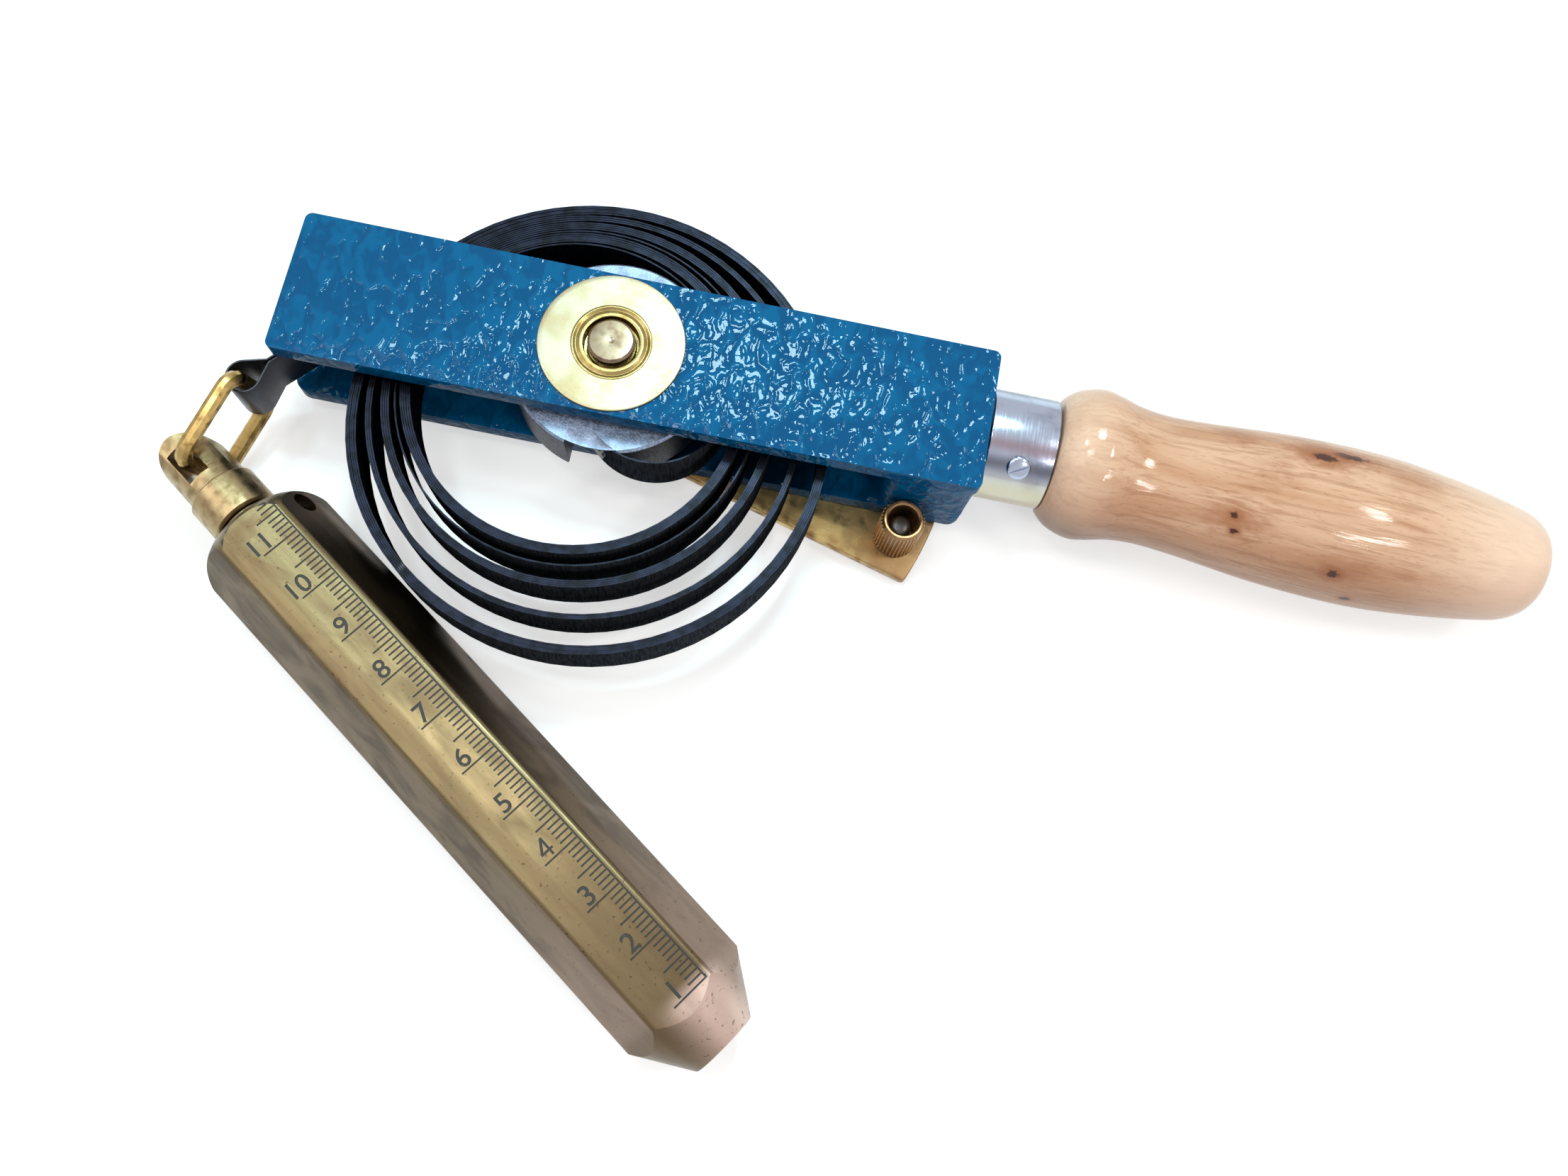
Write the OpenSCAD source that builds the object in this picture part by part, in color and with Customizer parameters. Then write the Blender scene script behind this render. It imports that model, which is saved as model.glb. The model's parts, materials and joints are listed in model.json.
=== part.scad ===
// Tank gauging tape: a fork frame with a wooden handle, a reel of steel tape,
// a crank that locks beside the fork, and a hexagonal brass plumb bob.
// The tool lies flat. +Z is the reel axis, +X runs along the fork to the handle.
// The origin is on the reel axis, at the flat outer face of the crank screw.

/* [Fork frame] */
// Reel axis to the open end of the arms
fork_reach = 57.7; // [52:0.1:70]
// Reel axis to the end that carries the handle
fork_back = 68; // [64:0.1:80]
// Length of the solid block that joins the arms
block_len = 16; // [12:0.1:18]
// Width of the arms
fork_w = 26.6; // [24:0.1:34]
// Thickness of one arm
arm_t = 3.4; // [2.5:0.1:5]
// Gap between the arms
fork_gap = 14.1; // [13.5:0.1:18]
// Corner radius of the front arm, seen from the front
front_corner_r = 1.3; // [0.5:0.1:3]
// Corner radius of the rear arm, seen from the front
rear_corner_r = 2.6; // [0.5:0.1:5]
// Depth of block left in front of the tang
tang_inset = 1.2; // [0.4:0.1:3]

/* [Reel] */
// Radius of the drum
drum_r = 18.5; // [17:0.1:18.6]
// Width of the drum along its axis
drum_w = 10.5; // [10.1:0.1:12]
// Bevel on the rims of the drum
drum_bevel = 0.5; // [0.2:0.1:1]
// Radius of the reel shaft
shaft_r = 4.2; // [3.5:0.1:4.6]
// Height of the shaft's turned end above the fork
shaft_proud = 1.2; // [0.6:0.1:3]
// Side of the shaft's square end
square_w = 5.6; // [4.4:0.1:6]
// Radius of the two thrust washers
washer_r = 7; // [6:0.1:10]
// Distance of the tape notch's radial wall from the reel axis
notch_wall = 4.9; // [3:0.1:6]
// Distance of the tape notch's floor from the reel axis
notch_floor = 14.2; // [13.6:0.1:14.5]

/* [Bushes and disc] */
// Outer radius of the bushes in the arms
bush_r = 6.2; // [5.6:0.1:7]
// Radius of the front bush's dished flange
flange_r = 7.1; // [6.6:0.1:8]
// Radius of the open mouth round the shaft's end
mouth_r = 4.95; // [4.8:0.05:5.4]
// Radius of the brass disc on the front arm
disc_r = 12.95; // [9:0.05:13.2]
// Thickness of the brass disc
disc_t = 0.4; // [0.3:0.1:1]

/* [Tape] */
// Width of the steel tape
tape_w = 10; // [8:0.1:10]
// Thickness of the steel tape
tape_t = 0.18; // [0.12:0.01:0.19]
// Loops in each loose group of turns, from the inside
group_turns = [3, 1, 3, 2, 3]; // [1:1:5]
// Distance of each group from the first, on the loose side
group_at = [0, 3.7, 6.6, 12.4, 18.4]; // [0:0.1:24]
// Pitch of the turns inside a group
group_pitch = 0.66; // [0.64:0.01:0.7]
// Pitch of the turns on the tight side
tight_pitch = 0.6; // [0.6:0.01:0.64]
// Centre of the innermost turn along X
coil_x = -5.85; // [-6.2:0.05:-5]
// Centre of the innermost turn along Y
coil_y = -6.5; // [-6.8:0.05:-5.5]
// Direction in which the loops hang apart
loose_angle = -53; // [-60:1:-50]
// First turn's reach on the tight side
tight_start = 27.7; // [27.6:0.1:28.2]
// First turn's reach on the loose side
loose_start = 30.3; // [29.5:0.1:31]
// Radius of the tape's curl where it leaves the drum
curl_r = 13; // [12.6:0.1:13.4]
// Direction at which that curl joins the first turn
curl_angle = 4; // [0:1:8]

/* [Tape end eye] */
// Inner radius of the folded eye
eye_bore_r = 2.8; // [2.7:0.05:3.2]
// Thickness of the eye's strip
eye_t = 0.3; // [0.2:0.05:0.5]
// Length of the eye's flat legs
eye_leg = 15; // [12:0.5:22]
// Distance from the eye's centre to where its legs close
eye_close = 5; // [4.4:0.1:7]
// Radius of the eye's rivets
rivet_r = 0.9; // [0.6:0.1:1.2]

/* [Wire link] */
// Radius of the brass wire
wire_r = 1.45; // [1.2:0.05:1.6]
// Width of the link between the middles of its legs
link_w = 15.2; // [15:0.1:18]
// Height of the link between the middles of its bars
link_h = 16.9; // [15:0.1:22]
// Bend radius of the wire
link_bend = 2.8; // [2.2:0.1:3]
// Angle from the bob's axis to the link
link_turn = 106.4; // [104:0.1:108]
// Lean of the link and its pivots from upright
link_lean = 10; // [0:0.5:11]

/* [Swivel] */
// Radius of the swivel's eye
swivel_r = 5.45; // [5.4:0.05:5.7]
// Radius of the swivel's collar
collar_r = 6.2; // [5.8:0.05:6.6]
// Height of the swivel's collar
collar_h = 7.4; // [2:0.1:8]
// Length from the swivel's foot to the middle of its eye
swivel_len = 13.4; // [12:0.1:16]
// Width of the slot through the eye
slot_w = 4.3; // [3.6:0.1:5]
// Slot's reach from the middle of the eye towards the foot
slot_in = 3.6; // [2.4:0.1:4.4]
// Slot's reach from the middle of the eye towards the end
slot_out = 2.9; // [2:0.1:3.4]
// Radius of the stem that turns in the bob
stem_r = 3.5; // [3:0.1:4.2]
// Length of the stem
stem_len = 13.6; // [12:0.1:18]

/* [Plumb bob] */
// Width across the flats of the hexagonal bar
bob_flats = 21.3; // [20:0.1:22]
// Length from the tip to the top of the shoulder
bob_len = 120; // [90:1:150]
// Length of the turned tip
tip_len = 10.4; // [6:0.1:16]
// Radius of the flat end of the tip
tip_r = 6; // [4:0.1:9]
// Height of the rounded shoulder
shoulder_h = 6.2; // [4:0.1:8]
// Radius of the neck under the swivel
neck_r = 5.7; // [5:0.1:6]
// Height of the neck
neck_h = 1.2; // [0.6:0.1:3]
// Open joint between the neck and the swivel
neck_gap = 0.4; // [0.2:0.1:1]
// Radius of the hole that the set screw sits in
set_hole_r = 2.1; // [1.6:0.1:2.6]
// Swivel eye's place along X
hang_x = -67.6; // [-69:0.1:-67.2]
// Swivel eye's place along Y
hang_y = -32.8; // [-34:0.1:-32.6]
// Direction of the bob's tip
bob_angle = -35.4; // [-37:0.1:-34]

/* [Crank] */
// Radius at which the knob stands
crank_r = 59.4; // [57:0.1:61]
// Crank plate beyond the knob's axis
crank_margin = 5.6; // [4.8:0.1:6.6]
// Half width of the crank plate at the hub
crank_hub_half = 8.9; // [8:0.1:10]
// Half width of the crank plate at its end
crank_end_half = 6.9; // [5.5:0.1:7.4]
// Thickness of the crank plate
crank_t = 2.2; // [1.6:0.1:2.6]
// Width of the crank screw's hexagonal head across its flats
crank_head_w = 11; // [9:0.1:13]
// Radius of the crank screw's shank
crank_shank_r = 1.9; // [1.5:0.1:2.1]
// Radius of the knurled knob
knob_r = 4.05; // [3.6:0.05:4.6]
// Height of the knob
knob_h = 10.5; // [7:0.1:12]
// Radius of the knob's open bore
knob_bore_r = 2.85; // [2.5:0.05:3]
// Ribs round the knob
knob_ribs = 36; // [20:1:48]
// Depth of the ribs
rib_depth = 0.28; // [0.1:0.01:0.4]
// Radius of the knob pin's head
pin_head_r = 2; // [1.7:0.05:2.3]
// Radius of the knob pin's shank
pin_r = 1.3; // [1:0.05:1.5]
// Depth of the pin's head below the knob's rim
pin_recess = 3; // [1:0.1:4]

/* [Handle] */
// Radius of the ferrule
ferrule_r = 10.05; // [9.5:0.05:11]
// Wall of the ferrule
ferrule_wall = 1; // [0.6:0.1:1.5]
// Length of the ferrule
ferrule_len = 12.2; // [10:0.1:20]
// Radius of the ferrule screw's head
ferrule_head_r = 2.15; // [1.6:0.05:3]
// Angle of the ferrule screw from the top
ferrule_screw_angle = 42; // [0:1:80]
// Length of the wooden handle behind the ferrule
grip_len = 92.6; // [80:0.1:110]
// Radius of the handle's front bulb
bulb_r = 14; // [12:0.1:14.2]
// Radius of the handle's waist
waist_r = 12.1; // [10:0.1:13]
// Radius of the handle's belly, on which it rests
belly_r = 14.3; // [14.2:0.1:15]
// Radius of the handle's end, before it rounds over
butt_r = 11.6; // [9:0.1:13]
// Sideways lean of the handle on its tang
grip_lean = 2.3; // [0:0.1:4]
// Radius of the tang
tang_r = 3.5; // [2.5:0.1:4.5]
// Length of the tang inside the handle
tang_reach = 55; // [30:1:75]

/* [Clearances] */
// Radial clearance of what turns
run_fit = 0.06; // [0.02:0.01:0.1]
// Clearance of what is pressed or screwed in
seat_fit = 0.02; // [0.01:0.01:0.05]
// Gap between bodies that pass each other
body_gap = 0.3; // [0.2:0.05:0.5]

/* [Hidden] */
$fn = 96;
eps = 0.01;
head_h = belly_r - fork_gap / 2 - arm_t - body_gap - crank_t;
axis_z = belly_r;
rear_z = axis_z - fork_gap / 2 - arm_t;
rear_in_z = rear_z + arm_t;
front_in_z = axis_z + fork_gap / 2;
front_z = front_in_z + arm_t;
block_x = fork_back - block_len;
plate_z = rear_z - body_gap - crank_t;
plate_top_z = plate_z + crank_t;
drum_z = axis_z - drum_w / 2;
washer_t = (fork_gap - drum_w) / 2 - body_gap / 2;
tape_z = axis_z - tape_w / 2;
knob_y = fork_w / 2 + body_gap + knob_r;
crank_angle = -asin(knob_y / crank_r);
crank_end_r = crank_r + crank_margin;
ferrule_x = fork_back + body_gap;
grip_x = ferrule_x + ferrule_len;
neck_fit_r = ferrule_r - ferrule_wall - seat_fit;
bob_z = bob_flats / 2;
bob_corner_r = bob_flats / sqrt(3);
tip_to_eye = bob_len + neck_h + neck_gap + swivel_len;
groove_at = stem_len * 0.46;
groove_w = 3.2;
groove_depth = 1;
rivet_head_r = rivet_r * 1.8;
rivet_head_t = 0.5;
screw_slot = 0.8;

// Unit vectors of the coil: where its loops hang apart
loose_dir = [cos(loose_angle), sin(loose_angle)];
coil_c = [coil_x, coil_y];

// Reach of each turn from the coil's centre, on the loose and on the tight side
loose_reach = [
    for (g = [0 : len(group_turns) - 1], i = [0 : group_turns[g] - 1])
        loose_start + group_at[g] + i * group_pitch
];
turns = len(loose_reach);
function tight_reach(k) = tight_start + k * tight_pitch;
function reach(k) = k < turns ? loose_reach[k] : loose_reach[turns - 1] + group_pitch;

// An arc is [centre, radius, first angle, last angle]
function half_turn(near, far, from, to) =
    [coil_c + (near - far) / 2 * loose_dir, (near + far) / 2, from, to];
curl_c = coil_c + (tight_start - curl_r) * [cos(curl_angle), sin(curl_angle)];
tight_angle = loose_angle + 180;
last_arc = half_turn(reach(turns), tight_reach(turns), tight_angle, tight_angle);

// The swivel's eye and the chain that hangs from it
hang = [hang_x, hang_y, bob_z];
function bob_turned(v) = [
    v[0] * cos(bob_angle) - v[1] * sin(bob_angle),
    v[0] * sin(bob_angle) + v[1] * cos(bob_angle),
    v[2]
];
function leaned(v) = [
    v[0],
    v[1] * cos(link_lean) - v[2] * sin(link_lean),
    v[1] * sin(link_lean) + v[2] * cos(link_lean)
];
eye_c = hang + bob_turned(leaned(link_h * [cos(link_turn), sin(link_turn), 0]));
eye_xy = [eye_c[0], eye_c[1]];

// The tape leaves the outermost turn on the tangent that points at its eye
eye_run = eye_xy - last_arc[0];
eye_far = norm(eye_run);
leave_angle = atan2(eye_run[1], eye_run[0]) + 360 - acos(last_arc[1] / eye_far);
leave_dir = [-sin(leave_angle), cos(leave_angle)];
tape_arcs = concat(
    [[curl_c, curl_r, -135, curl_angle], [coil_c, tight_start, curl_angle, tight_angle]],
    [
        for (k = [0 : turns - 1], side = [0, 1])
            side == 0
                ? half_turn(reach(k), tight_reach(k), tight_angle, loose_angle + 360)
                : half_turn(reach(k), tight_reach(k + 1), loose_angle, tight_angle)
    ],
    [[last_arc[0], last_arc[1], tight_angle, leave_angle % 360]]
);
arc_step = 10;
function on_arc(a, angle, out) = a[0] + (a[1] + out) * [cos(angle), sin(angle)];
function arc_points(a, out) =
    let (n = max(1, round((a[3] - a[2]) / arc_step)))
    [for (i = [0 : n - 1]) on_arc(a, a[2] + (a[3] - a[2]) * i / n, out)];
tape_end = eye_xy - (eye_close + rivet_head_r) * leave_dir;
leave_left = [leave_dir[1], -leave_dir[0]];
function tape_side(out) = concat(
    [for (a = tape_arcs) each arc_points(a, out)],
    [
        on_arc(last_arc, leave_angle, out),
        tape_end + out * leave_left
    ]
);
function turned_back(p) = [for (i = [len(p) - 1 : -1 : 0]) p[i]];

// The least gap between one turn's outer face and the next turn's inner face
gap_step = 5;
function spot(k, angle, out) =
    let (loose_side = angle < tight_angle)
    let (half = loose_side
        ? half_turn(reach(k), tight_reach(k + 1), 0, 0)
        : half_turn(reach(k), tight_reach(k), 0, 0))
    on_arc(half, angle, out);
function gap_over(k, angle) =
    let (p = spot(k, angle, tape_t / 2))
    min([
        for (near = [-2 * gap_step : 1 : 2 * gap_step])
            let (a = angle + near)
            let (ok = a > loose_angle && a < loose_angle + 360)
            ok ? norm(p - spot(k + 1, a, -tape_t / 2)) : 100
    ]);
least_gap = min([
    for (k = [0 : turns - 2], a = [loose_angle + gap_step : gap_step : loose_angle + 360 - gap_step])
        gap_over(k, a)
]);
echo(tape_turns = turns, least_gap_mm = least_gap);

// A smooth curve through the stations of a turned outline
function smooth(p, i, t) =
    let (a = p[max(i - 1, 0)], b = p[i], c = p[i + 1], d = p[min(i + 2, len(p) - 1)])
    0.5 * (2 * b + (c - a) * t + (2 * a - 5 * b + 4 * c - d) * t * t
        + (3 * b - a - 3 * c + d) * t * t * t);
function smooth_line(p, steps) = concat(
    [for (i = [0 : len(p) - 2], s = [0 : steps - 1]) smooth(p, i, s / steps)],
    [p[len(p) - 1]]
);

// A rectangle from the low corner to the high one, with one radius at the open end
module arm_outline(r) {
    translate([-fork_reach, -fork_w / 2 + r])
        square([fork_reach + fork_back, fork_w - 2 * r]);
    translate([-fork_reach + r, -fork_w / 2])
        square([fork_reach + fork_back - 2 * r, fork_w]);
    for (x = [-fork_reach + r, fork_back - r], y = [-fork_w / 2 + r, fork_w / 2 - r])
        translate([x, y])
            circle(r);
}

module fork_frame() {
    color([0.02, 0.36, 0.58])
        difference() {
            union() {
                translate([0, 0, rear_z])
                    linear_extrude(arm_t)
                        arm_outline(rear_corner_r);
                translate([0, 0, front_in_z])
                    linear_extrude(arm_t)
                        arm_outline(front_corner_r);
                translate([block_x, -fork_w / 2, rear_in_z])
                    cube([block_len - rear_corner_r, fork_w, fork_gap]);
                translate([block_x, -fork_w / 2 + rear_corner_r, rear_in_z])
                    cube([block_len, fork_w - 2 * rear_corner_r, fork_gap]);
            }
            translate([0, 0, front_in_z - 1])
                cylinder(r = bush_r + seat_fit, h = arm_t + 2);
            translate([0, 0, rear_z - 1])
                cylinder(r = bush_r + seat_fit, h = arm_t + 2);
            translate([block_x + tang_inset, 0, axis_z])
                rotate([0, 90, 0])
                    cylinder(r = tang_r + seat_fit, h = block_len);
        }
}

module brass_disc() {
    color([0.87, 0.80, 0.52])
        translate([0, 0, front_z])
            difference() {
                cylinder(r = disc_r, h = disc_t);
                translate([0, 0, -1])
                    cylinder(r = flange_r + seat_fit, h = disc_t + 2);
            }
}

// The dished flange slopes down from its rim to a raised lip round the mouth
module front_bush() {
    lip = 0.7;
    dish = disc_t * 0.7;
    color([0.78, 0.66, 0.30])
        rotate_extrude()
            polygon([
                [shaft_r + run_fit, front_in_z],
                [bush_r, front_in_z],
                [bush_r, front_z],
                [flange_r, front_z],
                [flange_r, front_z + disc_t],
                [(flange_r + mouth_r + lip) / 2, front_z + disc_t - dish],
                [mouth_r + lip, front_z + disc_t],
                [mouth_r, front_z + disc_t],
                [mouth_r, front_z - arm_t / 2],
                [shaft_r + run_fit, front_z - arm_t / 2]
            ]);
}

module rear_bush() {
    color([0.78, 0.66, 0.30])
        translate([0, 0, rear_z])
            difference() {
                cylinder(r = bush_r, h = arm_t);
                translate([0, 0, -1])
                    cylinder(r = shaft_r + run_fit, h = arm_t + 2);
            }
}

module reel_shaft() {
    color([0.72, 0.66, 0.52])
        difference() {
            union() {
                translate([0, 0, plate_top_z + eps])
                    cylinder(r = shaft_r, h = front_z + shaft_proud - plate_top_z - eps);
                rotate([0, 0, crank_angle])
                    translate([-square_w / 2, -square_w / 2, plate_z + eps])
                        cube([square_w, square_w, crank_t + 1]);
            }
            translate([0, 0, plate_z - 1])
                cylinder(r = crank_shank_r + seat_fit, h = arm_t + crank_t + 3);
        }
}

// Where the tape is screwed down, seen along the reel axis
anchor_angle = -127;
anchor_p = on_arc([curl_c, curl_r], anchor_angle, 0);
anchor_shank_r = 0.9;
anchor_head_r = 1.5;
anchor_head_t = 0.7;
anchor_depth = 5;
anchor_tip = 0.2;

// Puts its children on the tape where it is screwed down, with +Z away from the drum
module at_anchor() {
    translate([anchor_p[0], anchor_p[1], axis_z])
        rotate([0, 0, anchor_angle])
            rotate([0, 90, 0])
                children();
}

grub_angle = 60;
grub_r = 1.5;
grub_len = 8;

module drum() {
    color([0.60, 0.65, 0.72])
        difference() {
            rotate_extrude()
                polygon([
                    [shaft_r + seat_fit, drum_z],
                    [drum_r - drum_bevel, drum_z],
                    [drum_r, drum_z + drum_bevel],
                    [drum_r, drum_z + drum_w - drum_bevel],
                    [drum_r - drum_bevel, drum_z + drum_w],
                    [shaft_r + seat_fit, drum_z + drum_w]
                ]);
            translate([0, 0, drum_z - 1])
                linear_extrude(drum_w + 2)
                    difference() {
                        translate([-notch_wall, -drum_r - 1])
                            square([notch_wall + curl_c[0], drum_r + 1 - notch_floor]);
                        translate(curl_c)
                            circle((curl_r - tape_t / 2) * cos(arc_step / 2) - seat_fit);
                    }
            at_anchor()
                translate([0, 0, -anchor_depth])
                    cylinder(r = anchor_shank_r + seat_fit, h = anchor_depth + 2);
            translate([0, 0, axis_z])
                rotate([0, 90, grub_angle])
                    cylinder(r = grub_r + seat_fit, h = drum_r + 1);
        }
}

module drum_grub_screw() {
    color([0.25, 0.25, 0.27])
        translate([0, 0, axis_z])
            rotate([0, 90, grub_angle])
                translate([0, 0, shaft_r + seat_fit])
                    difference() {
                        cylinder(r = grub_r, h = grub_len);
                        translate([-screw_slot / 2, -grub_r - 1, grub_len - 1])
                            cube([screw_slot, 2 * grub_r + 2, 2]);
                    }
}

module thrust_washer(z) {
    color([0.78, 0.66, 0.30])
        translate([0, 0, z])
            difference() {
                cylinder(r = washer_r, h = washer_t);
                translate([0, 0, -1])
                    cylinder(r = shaft_r + seat_fit, h = washer_t + 2);
            }
}

module front_washer() {
    thrust_washer(drum_z + drum_w);
}

module rear_washer() {
    thrust_washer(drum_z - washer_t);
}

module tape_anchor_screw() {
    color([0.45, 0.45, 0.47])
        at_anchor() {
            translate([0, 0, tape_t / 2 + seat_fit])
                cylinder(r = anchor_head_r, h = anchor_head_t);
            translate([0, 0, -anchor_depth + anchor_tip])
                cylinder(r = anchor_shank_r, h = anchor_depth);
        }
}

// Puts its children on the tape's free end, +X towards the eye and +Z through the strip
module at_eye_leg(back) {
    translate(eye_c)
        rotate([0, 0, leave_angle + 90])
            translate([-back, 0, 0])
                rotate([-90, 0, 0])
                    children();
}

rivet_back = eye_close + eye_leg * 0.55;
rivet_rise = tape_w * 0.27;

module rivet_holes() {
    for (rise = [-rivet_rise, rivet_rise])
        at_eye_leg(rivet_back)
            translate([0, rise, -5])
                cylinder(r = rivet_r + seat_fit, h = 10);
}

// The free end stops between the legs of the eye
module tape_coil() {
    color([0.10, 0.12, 0.16])
        difference() {
            translate([0, 0, tape_z])
                linear_extrude(tape_w)
                    polygon(concat(tape_side(tape_t / 2), turned_back(tape_side(-tape_t / 2))));
            at_anchor()
                translate([0, 0, -1])
                    cylinder(r = anchor_shank_r + seat_fit, h = 2);
            rivet_holes();
        }
}

// Half the outline of the eye's strip, from the end of a leg to the top of the fold
eye_mid_r = eye_bore_r + eye_t / 2;
leg_y = tape_t / 2 + seat_fit + eye_t / 2;
fold_angle = 180 - acos(eye_mid_r / eye_close);
function fold_side(out) = concat(
    [[-eye_close - eye_leg, leg_y + out], [-eye_close, leg_y + out]],
    [for (a = [fold_angle : -15 : 15]) (eye_mid_r + out) * [cos(a), sin(a)]]
);
function both_sides(p) = concat(p, turned_back([for (q = p) [q[0], -q[1]]]));

module tape_end_eye() {
    color([0.12, 0.13, 0.15])
        difference() {
            translate([eye_c[0], eye_c[1], eye_c[2] - tape_w / 2])
                rotate([0, 0, leave_angle + 90])
                    linear_extrude(tape_w)
                        polygon(concat(
                            both_sides(fold_side(eye_t / 2)),
                            turned_back(both_sides(fold_side(-eye_t / 2)))
                        ));
            rivet_holes();
        }
}

module eye_rivets() {
    grip = leg_y + eye_t / 2 + eps;
    color([0.35, 0.35, 0.37])
        for (rise = [-rivet_rise, rivet_rise])
            at_eye_leg(rivet_back)
                translate([0, rise, 0]) {
                    translate([0, 0, -grip - rivet_head_t])
                        cylinder(r = rivet_r, h = 2 * (grip + rivet_head_t));
                    for (side = [0, 1])
                        mirror([0, 0, side])
                            translate([0, 0, grip])
                                cylinder(r = rivet_head_r, h = rivet_head_t);
                }
}

// Puts its children at the swivel's eye: +X to the bob's tip, +Z along the link's bars
module at_hang() {
    translate(hang)
        rotate([0, 0, bob_angle])
            rotate([link_lean, 0, 0])
                children();
}

module wire_bend() {
    rotate_extrude(angle = 90)
        translate([link_bend, 0])
            circle(wire_r, $fn = 48);
}

// The link lies in the plane of its local X and Z, with its lower bar on Z
module wire_link() {
    straight_w = link_w - 2 * link_bend;
    straight_h = link_h - 2 * link_bend;
    color([0.80, 0.64, 0.30])
        at_hang()
            rotate([0, 0, link_turn])
                for (flip = [0, 1])
                    translate([flip * link_h, 0, 0])
                        mirror([flip, 0, 0]) {
                            translate([0, 0, -straight_w / 2])
                                cylinder(r = wire_r, h = straight_w, $fn = 48);
                            for (side = [0, 1])
                                mirror([0, 0, side]) {
                                    translate([link_bend, 0, straight_w / 2])
                                        rotate([90, 0, 0])
                                            rotate([0, 0, 90])
                                                wire_bend();
                                    translate([link_bend, 0, link_w / 2])
                                        rotate([0, 90, 0])
                                            cylinder(r = wire_r, h = straight_h / 2, $fn = 48);
                                }
                        }
}

// The eye is a turned head, rounded about the link's bar, with a slot for the link
module swivel_head() {
    foot = swivel_len;
    color([0.74, 0.62, 0.38])
        at_hang()
            difference() {
                union() {
                    rotate([0, 90, 0])
                        cylinder(r = swivel_r, h = foot);
                    translate([foot - collar_h, 0, 0])
                        rotate([0, 90, 0])
                            cylinder(r = collar_r, h = collar_h);
                    intersection() {
                        translate([-swivel_r - 1, 0, 0])
                            rotate([0, 90, 0])
                                cylinder(r = swivel_r, h = swivel_r + 1 + eps);
                        translate([0, 0, -swivel_r - 1])
                            cylinder(r = swivel_r, h = 2 * swivel_r + 2);
                    }
                    difference() {
                        translate([foot - eps, 0, 0])
                            rotate([0, 90, 0])
                                cylinder(r = stem_r, h = stem_len + eps);
                        translate([foot + groove_at - groove_w / 2, 0, 0])
                            rotate([0, 90, 0])
                                difference() {
                                    cylinder(r = stem_r + 1, h = groove_w);
                                    translate([0, 0, -1])
                                        cylinder(r = stem_r - groove_depth, h = groove_w + 2);
                                }
                    }
                }
                translate([-slot_out, -slot_w / 2, -swivel_r - 1])
                    cube([slot_in + slot_out, slot_w, 2 * swivel_r + 2]);
            }
}

// Puts its children on the bob's axis: +X to the tip, X = 0 at the swivel's eye
module at_bob() {
    translate(hang)
        rotate([0, 0, bob_angle])
            children();
}

set_x = swivel_len + groove_at;
set_tip_r = 1.2;
set_sunk = 1.6;
neck_ledge = 1;
corner_trim = 0.15;

module at_set_screw() {
    translate([set_x, 0, 0])
        rotate([-60, 0, 0])
            children();
}

module plumb_bob() {
    top = tip_to_eye - bob_len;
    ledge_r = neck_r + neck_ledge;
    rim_r = bob_corner_r - corner_trim;
    color([0.70, 0.60, 0.38])
        at_bob()
            difference() {
                intersection() {
                    rotate([30, 0, 0])
                        rotate([0, 90, 0])
                            translate([0, 0, top - neck_h])
                                cylinder(r = bob_corner_r, h = bob_len + neck_h, $fn = 6);
                    rotate([0, 90, 0])
                        rotate_extrude()
                            polygon(concat(
                                [
                                    [0, tip_to_eye],
                                    [tip_r, tip_to_eye],
                                    [rim_r, tip_to_eye - tip_len]
                                ],
                                [
                                    for (a = [90 : -15 : 0])
                                        [
                                            ledge_r + (rim_r - ledge_r) * sin(a),
                                            top + shoulder_h * (1 - cos(a))
                                        ]
                                ],
                                [
                                    [neck_r, top],
                                    [neck_r, top - neck_h],
                                    [0, top - neck_h]
                                ]
                            ));
                }
                rotate([0, 90, 0])
                    cylinder(r = stem_r + run_fit, h = swivel_len + stem_len + 0.5);
                at_set_screw()
                    cylinder(r = set_hole_r, h = bob_corner_r + 1);
            }
}

module bob_set_screw() {
    low = stem_r - groove_depth + body_gap;
    long = bob_flats / 2 - set_sunk;
    color([0.30, 0.30, 0.31])
        at_bob()
            at_set_screw()
                difference() {
                    union() {
                        translate([0, 0, low])
                            cylinder(r = set_tip_r, h = long - low);
                        translate([0, 0, stem_r + 1])
                            cylinder(r = set_hole_r - seat_fit, h = long - stem_r - 1);
                    }
                    translate([-screw_slot / 2, -set_hole_r, long - 1])
                        cube([screw_slot, 2 * set_hole_r, 2]);
                }
}

module crank_plate() {
    color([0.80, 0.69, 0.40])
        translate([0, 0, plate_z])
            rotate([0, 0, crank_angle])
                difference() {
                    linear_extrude(crank_t)
                        union() {
                            circle(crank_hub_half);
                            intersection() {
                                circle(crank_end_r, $fn = 180);
                                polygon([
                                    [0, -crank_hub_half],
                                    [crank_end_r, -crank_end_half],
                                    [crank_end_r, crank_end_half],
                                    [0, crank_hub_half]
                                ]);
                            }
                        }
                    translate([-square_w / 2 - seat_fit, -square_w / 2 - seat_fit, -1])
                        cube([square_w + 2 * seat_fit, square_w + 2 * seat_fit, crank_t + 2]);
                    translate([crank_r, 0, -1])
                        cylinder(r = pin_r + seat_fit, h = crank_t + 2);
                }
}

face_chamfer = 0.25;

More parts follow.
